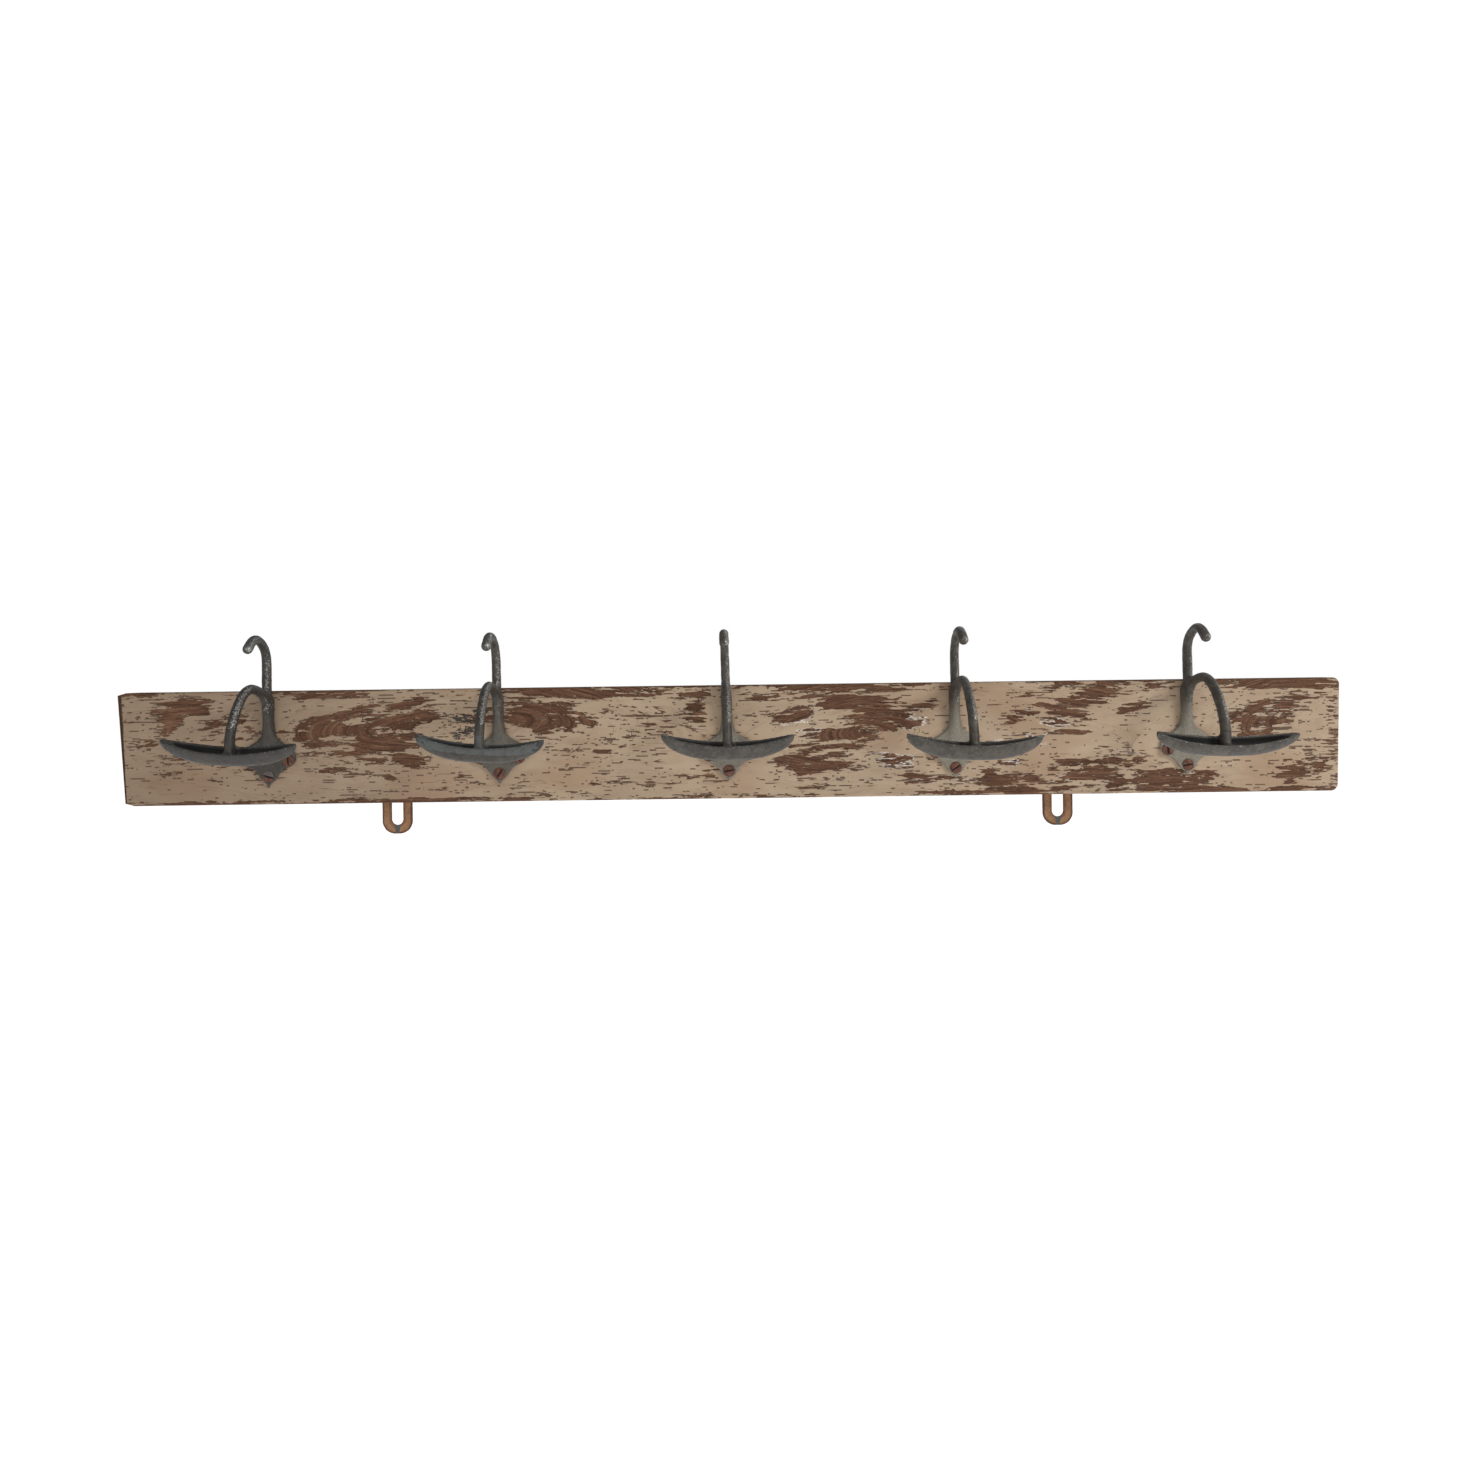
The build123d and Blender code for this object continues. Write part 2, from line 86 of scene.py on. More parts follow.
# Bare patches: middle x, middle z, half length, half height (mm), slope of the patch, and how bare it is
BARE_PATCHES = (
    (-494, 36, 24, 9, 0.0, 1.0),
    (-503, 24, 13, 9, 0.5, 0.9),
    (-452, 24, 26, 5, 0.15, 0.7),
    (-455, 16, 16, 4, 0.25, 0.5),
    (-366, 46, 46, 3, 0.0, 0.8),
    (-352, 27, 42, 6, 0.22, 0.85),
    (-306, 33, 40, 5, 0.3, 0.75),
    (-356, 14, 44, 7, 0.05, 0.95),
    (-296, 22, 34, 8, 0.25, 0.9),
    (-312, 4, 30, 12, 0.0, 0.95),
    (-342, -10, 46, 6, -0.12, 0.75),
    (-292, -12, 22, 7, -0.2, 0.75),
    (-480, -12, 30, 7, 0.0, 0.35),
    (-455, -24, 46, 9, 0.0, 0.3),
    (-517, 5, 22, 4, 0.0, 0.55),
    (-222, 24, 12, 5, 0.0, 0.7),
    (-173, 25, 32, 13, 0.04, 1.1),
    (-128, 22, 10, 6, -0.3, 0.8),
    (-124, 45, 74, 4, 0.0, 0.85),
    (-33, 43, 16, 4, 0.0, 0.8),
    (-96, 32, 22, 7, 0.0, 0.3),
    (-80, 16, 30, 12, 0.1, 0.36),
    (-108, 2, 26, 7, 0.0, 0.4),
    (-122, -20, 22, 3, 0.15, 0.8),
    (-104, -30, 14, 4, 0.0, 0.6),
    (-31, 26, 10, 13, 0.2, 0.75),
    (-24, -29, 32, 4, 0.12, 0.7),
    (-98, -37, 34, 3, 0.0, 0.5),
    (54, 23, 20, 8, 0.25, 0.95),
    (108, 46, 64, 4, 0.0, 0.85),
    (26, 40, 22, 4, -0.1, 0.6),
    (112, 34, 42, 8, -0.08, 1.0),
    (136, 17, 28, 10, 0.1, 1.0),
    (162, 27, 24, 4, 0.25, 0.8),
    (166, 15, 11, 6, 0.2, 0.85),
    (95, 5, 36, 6, -0.04, 1.05),
    (86, -5, 32, 3, 0.0, 0.95),
    (78, -21, 38, 10, 0.0, 1.1),
    (60, -11, 30, 3, 0.0, 0.8),
    (150, -19, 17, 8, -0.25, 0.85),
    (128, -14, 10, 5, 0.0, 0.7),
    (90, -38, 60, 5, 0.0, 0.62),
    (170, -36, 24, 4, 0.0, 0.5),
    (62, -40, 40, 4, 0.0, 0.5),
    (267, 23, 20, 7, 0.3, 0.8),
    (304, 16, 20, 7, 0.1, 0.85),
    (318, 33, 38, 11, 0.35, 1.05),
    (286, 44, 30, 4, 0.2, 0.7),
    (251, -22, 13, 3, 0.0, 0.8),
    (250, -34, 42, 6, -0.1, 0.6),
    (366, 27, 20, 5, 0.2, 0.8),
    (309, 5, 22, 3, 0.0, 0.85),
    (352, 40, 32, 3, 0.0, 0.6),
    (326, -31, 34, 13, -0.2, 0.95),
    (352, -22, 22, 10, -0.5, 0.7),
    (402, -37, 44, 12, -0.05, 1.0),
    (378, -24, 24, 8, -0.4, 0.8),
    (387, 46, 22, 3, 0.0, 0.8),
    (492, 46, 56, 5, 0.0, 1.1),
    (470, 14, 17, 15, 0.7, 0.85),
    (497, 20, 19, 14, 0.7, 0.85),
    (450, 12, 10, 10, 0.6, 0.7),
    (500, 33, 40, 5, 0.12, 0.5),
    (520, -28, 30, 16, 0.25, 0.62),
    (444, -27, 17, 6, 0.0, 0.6),
    (543, 0, 6, 44, 0.0, 0.6),
    (-350, -22, 30, 4, -0.1, 0.75),
    (-318, -26, 26, 3, -0.2, 0.7),
    (-362, 4, 24, 4, 0.1, 0.8),
    (-426, -20, 30, 3, 0.0, 0.6),
    (-498, -22, 26, 3, 0.0, 0.6),
    (-486, -6, 24, 3, 0.0, 0.6),
    (-448, 8, 14, 3, 0.0, 0.6),
    (-92, -36, 60, 2, 0.0, 0.65),
    (-150, -44, 50, 2, 0.0, 0.55),
    (-114, -9, 10, 4, 0.0, 0.7),
    (-70, 27, 14, 3, 0.0, 0.65),
    (-58, 12, 9, 4, 0.0, 0.65),
    (180, -34, 50, 2.5, -0.1, 0.8),
    (250, -40, 50, 3, 0.0, 0.75),
    (238, -46, 70, 3, 0.0, 0.7),
)
# Painted shade: how much darker the paint is made at stations along the plank, most at the left end, away
# from the main light
SHADE_STATIONS = np.array((-550, -430, -330, -240, -150)) * MM
LEFT_END_SHADE = np.array((0.56, 0.48, 0.3, 0.18, 0.0))
CHARRED_MARKS = ((-238, 24, 15, 4.5, 0.0), (-240, 11, 13, 6, 0.18), (-224, 30, 9, 3, 0.0))
CHIP_ZONES = (
    (64, 14, 18, 7),
    (172, 18, 14, 9),
    (262, 0, 24, 8),
    (253, -21, 6, 4),
    (150, -17, 16, 8),
    (290, 12, 14, 6),
)

# Castings: their places and shapes as part.py has them, in mm and degrees, and then how they look.
# pale_plate is dust on the back plate, blue_tip and blue_cup are bluish paint, and tarnish darkens all.
HOOKS = {
    "hook_1": {
        "place": -414.6, "lean": 0.8,
        "cup_tilt": 2.8, "cup_pitch": 22.0, "cup_height": 3.9, "cup_length": 114.0,
        "pale_plate": 0.12, "blue_tip": 0.9, "blue_cup": 0.15, "tarnish": 0.5,
    },
    "hook_2": {
        "place": -207.5, "lean": -0.6,
        "cup_tilt": 3.4, "cup_pitch": 9.0, "cup_height": 4.7, "cup_length": 109.0,
        "pale_plate": 0.4, "blue_tip": 0.7, "blue_cup": 1.0, "tarnish": 0.25,
    },
    "hook_3": {
        "place": -1.8, "lean": -1.4,
        "cup_tilt": 0.7, "cup_pitch": 11.5, "cup_height": 4.0, "cup_length": 112.0,
        "pale_plate": 0.75, "blue_tip": 0.0, "blue_cup": 0.1, "tarnish": 0.1,
    },
    "hook_4": {
        "place": 202.4, "lean": -0.4,
        "cup_tilt": 1.5, "cup_pitch": 8.5, "cup_height": 1.5, "cup_length": 115.0,
        "pale_plate": 1.0, "blue_tip": 0.0, "blue_cup": 0.0, "tarnish": 0.05,
    },
    "hook_5": {
        "place": 410.8, "lean": -0.5,
        "cup_tilt": 1.5, "cup_pitch": 27.0, "cup_height": 1.0, "cup_length": 121.0,
        "pale_plate": 1.0, "blue_tip": 0.0, "blue_cup": 0.0, "tarnish": 0.05,
    },
}
CUP_OUT = 78.8 * MM
CUP_RIM_RISE = 8.8 * MM
CUP_REACH = 9.5 * MM  # no point of the cup is further than this from the trough's axis, except at its tips
CROOK_TIP_OUT = 44.5 * MM
TIP_PAINT_HEIGHT = 90 * MM  # the middle of the bluish paint on the crook's tip
CAST_VOXEL = 0.8 * MM
CAST_FILLET = 1.7 * MM

# Screw heads, as part.py has them
PLATE_THICKNESS = 3.2 * MM
SCREW_HEAD_RADIUS = 5.45 * MM
SCREW_DOME = 1.3 * MM
SCREW_VOXEL = 0.34 * MM
# Painted reflection: how much the upper half of a screw head is made pale grey
SCREW_TOP_SHEEN = {"hook_1_screw_bottom": 0.85}

# Hanger plates, as part.py has them
HANGERS = {"hanger_plate_left": -306.5 * MM, "hanger_plate_right": 300.5 * MM}
HANGER_HALF_WIDTH = 13.9 * MM
HANGER_BOTTOM = -81.8 * MM
HANGER_LENGTH = 72 * MM
HANGER_THICKNESS = 2 * MM
HANGER_END_ROUND = 12 * MM
HANGER_SLOT_HALF_WIDTH = 5.2 * MM
HANGER_SLOT_LOW = -73.7 * MM
HANGER_SLOT_LENGTH = 28 * MM
REBATE_CLEARANCE = 0.3 * MM
CUTTER_REACH = 5 * MM  # how far the rebates' cutters stand out of the back
PLATE_VOXEL = 0.5 * MM

# Studio
CAMERA_PLACE = Vector((-0.4, -990.0, 68.0)) * MM
CAMERA_LENS = 26.56
CAMERA_ROLL = math.radians(-0.75)
CAMERA_SHIFT = -0.0426
FLOOR_HEIGHT = -0.42
FLOOR_REACH = 12
AMBIENT = 0.34
FLOOR_GLOW = 0.7


# Repeatable noise ---------------------------------------------------------------------------------


def lattice(cells, seed):
    """A repeatable number from 0 to 1 for each whole-number cell."""
    mixed = np.full(cells[0].shape, (seed + 1) * 7919, np.uint64)
    for cell, prime in zip(cells, (73856093, 19349663, 83492791)):
        mixed ^= cell.astype(np.int64).astype(np.uint64) * np.uint64(prime)
        mixed ^= mixed >> np.uint64(29)
        mixed *= np.uint64(0x9E3779B97F4A7C15)
        mixed ^= mixed >> np.uint64(32)
    return (mixed & np.uint64(0xFFFFFF)).astype(float) / 0xFFFFFF


def noise(coordinates, seed):
    """Smooth noise from -1 to 1, with features one unit across."""
    cells = [np.floor(values) for values in coordinates]
    shares = [values - cell for values, cell in zip(coordinates, cells)]
    eased = [share * share * share * (share * (share * 6 - 15) + 10) for share in shares]
    total = np.zeros(coordinates[0].shape)
    for corner in itertools.product((0, 1), repeat=len(cells)):
        weight = np.ones(total.shape)
        for step, share in zip(corner, eased):
            weight *= share if step else 1 - share
        total += weight * lattice([cell + step for cell, step in zip(cells, corner)], seed)
    return total * 2 - 1


def smooth_step(values, low, high):
    """0 below low, 1 above high and smooth between."""
    share = np.clip((values - low) / (high - low), 0, 1)
    return share * share * (3 - 2 * share)


# Meshes -------------------------------------------------------------------------------------------


def vertex_array(mesh):
    """The mesh's vertices as an array."""
    places = np.empty(len(mesh.vertices) * 3)
    mesh.vertices.foreach_get("co", places)
    return places.reshape(-1, 3)


def normal_array(mesh):
    """The mesh's vertex normals as an array."""
    normals = np.empty(len(mesh.vertices) * 3)
    mesh.vertex_normals.foreach_get("vector", normals)
    return normals.reshape(-1, 3)


def set_vertices(mesh, places):
    """Moves the mesh's vertices."""
    mesh.vertices.foreach_set("co", places.astype(np.float32).ravel())
    mesh.update()


def store(mesh, name, values):
    """Keeps one number per vertex under a name that a material can read."""
    attribute = mesh.attributes.new(name, "FLOAT", "POINT")
    attribute.data.foreach_set("value", values.astype(np.float32))


def new_piece(name, mesh, material):
    """Puts a mesh in the scene as a piece of the rack."""
    piece = bpy.data.objects.new(name, mesh)
    bpy.context.scene.collection.objects.link(piece)
    mesh.materials.clear()
    mesh.materials.append(material)
    mesh.shade_smooth()
    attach(piece, "root")
    return piece


def apply_modifiers(piece):
    """Turns a piece's modifiers into its own mesh."""
    graph = bpy.context.evaluated_depsgraph_get()
    mesh = bpy.data.meshes.new_from_object(piece.evaluated_get(graph))
    piece.modifiers.clear()
    piece.data = mesh
    return mesh


def modified(mesh, kind, **settings):
    """What one modifier makes of a mesh."""
    holder = bpy.data.objects.new("holder", mesh)
    bpy.context.scene.collection.objects.link(holder)
    modifier = holder.modifiers.new("change", kind)
    for key, value in settings.items():
        setattr(modifier, key, value)
    result = apply_modifiers(holder)
    bpy.data.objects.remove(holder)
    return result


def remesh(mesh, voxel):
    """The same shape in even small faces."""
    return modified(mesh, "REMESH", mode="VOXEL", voxel_size=voxel)


def copied_mesh(node_name):
    """A copy of a CAD node's mesh with its corners joined."""
    return modified(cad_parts[node_name].data.copy(), "WELD", merge_threshold=WELD_DISTANCE)


def edge_array(mesh):
    """The mesh's edges as pairs of vertex numbers."""
    edges = np.empty(len(mesh.edges) * 2, np.int32)
    mesh.edges.foreach_get("vertices", edges)
    return edges.reshape(-1, 2)


def neighbour_mean(values, edges):
    """The mean of each vertex's neighbours."""
    total = np.zeros_like(values)
    count = np.zeros(len(values))
    for start, end in ((0, 1), (1, 0)):
        for axis in range(values.shape[1]):
            total[:, axis] += np.bincount(edges[:, start], values[edges[:, end], axis], len(values))
        count += np.bincount(edges[:, start], minlength=len(values))
    return total / np.maximum(count, 1)[:, None]


def smoothed(places, edges, rounds):
    """Vertices moved halfway towards their neighbours, again and again."""
    for _ in range(rounds):
        places = places + (neighbour_mean(places, edges) - places) * 0.5
    return places


def curvature(places, normals, edges):
    """How far each vertex stands out from its neighbours, in units of millimetres."""
    stand_out = ((places - neighbour_mean(places, edges)) * normals).sum(1) / MM
    return smoothed(stand_out[:, None], edges, CURVATURE_ROUNDS)[:, 0]


# Node trees ---------------------------------------------------------------------------------------


def new_material(name):
    """A material and its tree, with one Principled shader."""
    material = bpy.data.materials.new(name)
    material.use_nodes = True
    return material, material.node_tree, material.node_tree.nodes["Principled BSDF"]


def node(tree, kind, inputs=(), **settings):
    """A node with its settings and inputs set. An input is a value or another node's output."""
    made = tree.nodes.new("ShaderNode" + kind)
    for key, value in settings.items():
        setattr(made, key, value)
    for key, value in dict(inputs).items():
        if isinstance(value, bpy.types.NodeSocket):
            tree.links.new(value, made.inputs[key])
        else:
            made.inputs[key].default_value = value
    return made


def maths(tree, operation, first, second=0.0, third=0.0):
    """The result of one sum."""
    return node(tree, "Math", {0: first, 1: second, 2: third}, operation=operation).outputs[0]


def colour_mix(tree, factor, first, second):
    """A mix of two colours."""
    return node(tree, "Mix", {0: factor, 6: first, 7: second}, data_type="RGBA").outputs[2]


def number_mix(tree, factor, first, second):
    """A mix of two numbers."""
    return node(tree, "Mix", {0: factor, 2: first, 3: second}, data_type="FLOAT").outputs[0]


def band(tree, value, low, high, to_low=0.0, to_high=1.0):
    """A smooth step from to_low to to_high as a value goes from low to high."""
    inputs = {"Value": value, "From Min": low, "From Max": high, "To Min": to_low, "To Max": to_high}
    return node(tree, "MapRange", inputs, interpolation_type="SMOOTHSTEP").outputs["Result"]


def attribute(tree, name):
    """A number kept on the mesh."""
    return node(tree, "Attribute", attribute_name=name).outputs["Fac"]


def texture_place(tree, scale):
    """Object coordinates, scaled."""
    place = node(tree, "TexCoord").outputs["Object"]
    return node(tree, "Mapping", {"Vector": place, "Scale": scale}).outputs[0]


def speckle(tree, vector, scale, detail=2.0, roughness=0.5, distortion=0.0):
    """Noise from 0 to 1."""
    inputs = {
        "Vector": vector,
        "Scale": scale,
        "Detail": detail,
        "Roughness": roughness,
        "Distortion": distortion,
    }
    return node(tree, "TexNoise", inputs).outputs["Fac"]


def ramp(tree, factor, *stops):
    """A colour ramp through (place, colour) stops."""
    made = node(tree, "ValToRGB", {0: factor})
    elements = made.color_ramp.elements
    while len(elements) < len(stops):
        elements.new(0.5)
    for element, (place, colour) in zip(elements, stops):
        element.position = place
        element.color = (*colour, 1)
    return made.outputs[0]


def bump(tree, height, distance, strength):
    """A bumped normal."""
    inputs = {"Height": height, "Distance": distance, "Strength": strength}
    return node(tree, "Bump", inputs).outputs[0]


# Materials ----------------------------------------------------------------------------------------


def flaked_paint():
    """Cream paint flaking off open-grained wood. The mesh says roughly where, and noise makes it ragged."""
    material, tree, shader = new_material("flaked_board")
    place = node(tree, "SeparateXYZ", {0: node(tree, "TexCoord").outputs["Object"]})
    along, depth, up = place.outputs[0], place.outputs[1], place.outputs[2]
    rings = attribute(tree, "rings")

    def fibres(along_scale, ring_scale, shift):
        """Coordinates drawn out along the grain."""
        parts = {
            0: maths(tree, "MULTIPLY", along, along_scale),
            1: maths(tree, "MULTIPLY", rings, ring_scale),
            2: maths(tree, "MULTIPLY", depth, 60.0),
        }
        joined = node(tree, "CombineXYZ", parts).outputs[0]
        return node(tree, "VectorMath", {0: joined, 1: (shift, shift * 2, 0)}, operation="ADD").outputs[0]

    def strands(along_scale, height_scale, shift):
        """Noise in thin strands that each start and stop on their own, so that flakes end in level steps."""
        sway = maths(tree, "MULTIPLY", speckle(tree, fibres(6, 40, shift), 1, 1, 0.5), 0.004 * height_scale)
        level = maths(tree, "ADD", maths(tree, "MULTIPLY", up, height_scale), sway)
        strand = maths(tree, "MULTIPLY_ADD", maths(tree, "FLOOR", level), 3.73, shift)
        parts = {
            0: maths(tree, "MULTIPLY", along, along_scale),
            1: strand,
            2: maths(tree, "MULTIPLY", depth, 60.0),
        }
        return speckle(tree, node(tree, "CombineXYZ", parts).outputs[0], 1, 2, 0.65)

    def centred(value, strength):
        """Noise about zero."""
        return maths(tree, "MULTIPLY", maths(tree, "SUBTRACT", value, 0.5), strength)

    ragged = speckle(tree, fibres(150, 1000, 3), 1, 2, 0.6)
    wisps = speckle(tree, fibres(55, 520, 9), 1, 3, 0.6)
    coarse_strands = strands(60, 700, 4.1)
    fine_strands = strands(150, 1500, 8.3)
    field = maths(tree, "ADD", attribute(tree, "bare"), centred(ragged, 0.4))
    field = maths(tree, "ADD", field, centred(wisps, 0.35))
    field = maths(tree, "ADD", field, centred(coarse_strands, 0.75))
    field = maths(tree, "ADD", field, centred(fine_strands, 0.45))
    bare = band(tree, field, 0.485, 0.515)
    rim = maths(tree, "MULTIPLY", band(tree, field, 0.36, 0.49), band(tree, field, 0.53, 0.5))

    # Slits and short dashes in the paint, along the grain, and thicker near the bare patches
    nearness = maths(tree, "MULTIPLY", attribute(tree, "bare"), 0.16)
    long_slits = band(tree, maths(tree, "ADD", strands(48, 1000, 21.7), nearness), 0.65, 0.675)
    short_slits = band(tree, maths(tree, "ADD", strands(110, 800, 33.9), nearness), 0.68, 0.705)
    hair = maths(tree, "ABSOLUTE", centred(speckle(tree, fibres(9, 420, 33), 1, 1, 0.4), 1.0))
    hair = maths(tree, "MULTIPLY", band(tree, hair, 0.006, 0.0015), band(tree, wisps, 0.5, 0.6))
    slits = maths(tree, "MAXIMUM", maths(tree, "MAXIMUM", long_slits, short_slits), hair)

    cloud = speckle(tree, texture_place(tree, (22, 40, 60)), 1, 4, 0.6)
    film = ramp(
        tree,
        cloud,
        (0.25, (0.305, 0.22, 0.147)),
        (0.5, (0.362, 0.27, 0.186)),
        (0.78, (0.41, 0.318, 0.228)),
    )
    grime = speckle(tree, fibres(40, 260, 51), 1, 4, 0.65)
    film = colour_mix(tree, band(tree, grime, 0.5, 0.78, 0.0, 0.42), film, (0.21, 0.135, 0.085, 1))
    warmth = maths(tree, "MULTIPLY", attribute(tree, "warm"), 0.5)
    film = colour_mix(tree, warmth, film, (0.285, 0.18, 0.11, 1))
    # Painted shade: the paint is darkened towards the left end of the plank
    left_shade = maths(tree, "MULTIPLY", attribute(tree, "painted_left_shade"), 0.9)
    film = colour_mix(tree, left_shade, film, (0.15, 0.1, 0.066, 1))
    film = colour_mix(tree, band(tree, field, 0.40, 0.485, 0.0, 0.3), film, (0.2, 0.13, 0.085, 1))
    film = colour_mix(tree, maths(tree, "MULTIPLY", slits, 0.88), film, (0.07, 0.04, 0.026, 1))
    chips = maths(tree, "MULTIPLY", rim, attribute(tree, "chips"))
    film = colour_mix(tree, chips, film, (0.72, 0.68, 0.64, 1))

    streaks = speckle(tree, fibres(24, 900, 71), 1, 4, 0.7)
    threads = speckle(tree, fibres(60, 2300, 77), 1, 3, 0.65)
    pores = strands(110, 2600, 83.1)
    wood = ramp(
        tree,
        maths(tree, "ADD", maths(tree, "MULTIPLY", streaks, 0.6), maths(tree, "MULTIPLY", threads, 0.4)),
        (0.32, (0.034, 0.014, 0.007)),
        (0.45, (0.078, 0.035, 0.018)),
        (0.56, (0.13, 0.064, 0.036)),
        (0.68, (0.21, 0.118, 0.07)),
    )
    wood = colour_mix(tree, band(tree, pores, 0.58, 0.66, 0.0, 0.75), wood, (0.022, 0.011, 0.008, 1))
    # Painted shade: darker wood on the sawn bevel of the left end and on the back of the edges
    wood = colour_mix(tree, attribute(tree, "painted_end_and_edge_shade"), wood, (0.06, 0.036, 0.024, 1))
    # Painted shadow: the bare wood darkens just beside the edges of the paint
    paint_edge_shadow = band(tree, field, 0.60, 0.51, 0.0, 0.5)
    wood = colour_mix(tree, paint_edge_shadow, wood, (0.03, 0.015, 0.01, 1))
    flecks = maths(tree, "SUBTRACT", strands(210, 1500, 97.7), maths(tree, "MULTIPLY", field, 0.05))
    flecks = band(tree, flecks, 0.66, 0.69)
    wood = colour_mix(tree, maths(tree, "MULTIPLY", flecks, 0.6), wood, (0.3, 0.215, 0.15, 1))

    colour = colour_mix(tree, bare, film, wood)
    char_lace = centred(speckle(tree, texture_place(tree, (170, 60, 420)), 1, 3, 0.7, 0.8), 2.6)
    char = band(tree, maths(tree, "MULTIPLY_ADD", attribute(tree, "char"), 0.75, char_lace), 0.55, 0.68)
    colour = colour_mix(tree, maths(tree, "MULTIPLY", char, 0.9), colour, (0.014, 0.012, 0.013, 1))
    tree.links.new(colour, shader.inputs["Base Color"])

    roughness = number_mix(tree, bare, band(tree, cloud, 0.3, 0.7, 0.5, 0.62), 0.78)
    tree.links.new(roughness, shader.inputs["Roughness"])
    shader.inputs["Specular IOR Level"].default_value = 0.22

    relief = maths(tree, "MULTIPLY", maths(tree, "SUBTRACT", 1.0, maths(tree, "MAXIMUM", bare, slits)), 0.3)
    grain = maths(tree, "SUBTRACT", streaks, maths(tree, "MULTIPLY", pores, 0.5))
    grain = maths(tree, "MULTIPLY", grain, bare)
    height = maths(tree, "ADD", relief, maths(tree, "MULTIPLY", grain, 0.5))
    height = maths(tree, "ADD", height, maths(tree, "MULTIPLY", cloud, 0.06))
    tree.links.new(bump(tree, height, 0.6 * MM, 0.9), shader.inputs["Normal"])
    return material


def pitted_casting():
    """A matt dark grey casting, pitted all over and rubbed bright on its edges where hands and coats reach,
    with a painted highlight on the bars where they face the main light.
    """
    material, tree, shader = new_material("hook_casting")
    place = texture_place(tree, (1, 1, 1))
    cloud = speckle(tree, place, 70, 4, 0.6)
    sand = speckle(tree, place, 900, 3, 0.6)
    coarse = speckle(tree, place, 330, 3, 0.65)
    pits = node(tree, "TexVoronoi", {"Vector": place, "Scale": 620.0, "Randomness": 1.0}).outputs["Distance"]
    pits = maths(tree, "MULTIPLY", band(tree, pits, 0.34, 0.12), band(tree, coarse, 0.5, 0.62))

    patches = speckle(tree, place, 150, 3, 0.6)
    colour = ramp(
        tree,
        cloud,
        (0.3, (0.026, 0.022, 0.018)),
        (0.5, (0.05, 0.043, 0.036)),
        (0.72, (0.092, 0.079, 0.065)),
    )
    colour = colour_mix(tree, band(tree, coarse, 0.42, 0.66, 0.0, 0.5), colour, (0.1, 0.09, 0.075, 1))
    colour = colour_mix(tree, band(tree, patches, 0.52, 0.64, 0.0, 0.5), colour, (0.026, 0.024, 0.023, 1))
    dust = maths(tree, "MULTIPLY", attribute(tree, "pale"), band(tree, sand, 0.3, 0.6, 0.5, 1.0))
    colour = colour_mix(tree, dust, colour, (0.21, 0.19, 0.15, 1))
    blue = maths(tree, "MULTIPLY", attribute(tree, "blue"), band(tree, patches, 0.36, 0.56, 0.45, 1.0))
    colour = colour_mix(tree, blue, colour, (0.088, 0.098, 0.096, 1))
    chipped = maths(tree, "SUBTRACT", patches, 0.5)
    chipped = maths(tree, "MULTIPLY_ADD", chipped, 2.6, attribute(tree, "chipped"))
    colour = colour_mix(tree, band(tree, chipped, 0.62, 0.72, 0.0, 0.85), colour, (0.018, 0.018, 0.021, 1))
    colour = colour_mix(tree, attribute(tree, "tarnish"), colour, (0.012, 0.011, 0.01, 1))
    # The light streaks are partly rubbed wear on the edges and partly a painted highlight on the sides of the
    # bars that face the main light
    rub_and_highlight = maths(tree, "MULTIPLY_ADD", maths(tree, "SUBTRACT", sand, 0.5), 2.4, attribute(tree, "wear_and_highlight"))
    rub_and_highlight = maths(tree, "MULTIPLY", band(tree, rub_and_highlight, 0.5, 0.9), 0.85)
    colour = colour_mix(tree, rub_and_highlight, colour, (0.33, 0.32, 0.3, 1))
    colour = colour_mix(tree, maths(tree, "MULTIPLY", pits, 0.8), colour, (0.018, 0.017, 0.017, 1))
    # Painted shade inside the trough
    painted_trough_shade = maths(tree, "MULTIPLY", attribute(tree, "painted_trough_shade"), 0.93)
    colour = colour_mix(tree, painted_trough_shade, colour, (0.009, 0.009, 0.009, 1))
    tree.links.new(colour, shader.inputs["Base Color"])

    shader.inputs["Metallic"].default_value = 0.25
    roughness = number_mix(tree, rub_and_highlight, band(tree, cloud, 0.3, 0.7, 0.5, 0.62), 0.32)
    tree.links.new(roughness, shader.inputs["Roughness"])
    height = maths(tree, "SUBTRACT", maths(tree, "MULTIPLY", coarse, 0.5), pits)
    height = maths(tree, "ADD", height, maths(tree, "MULTIPLY", sand, 0.35))
    tree.links.new(bump(tree, height, 0.22 * MM, 0.8), shader.inputs["Normal"])
    return material


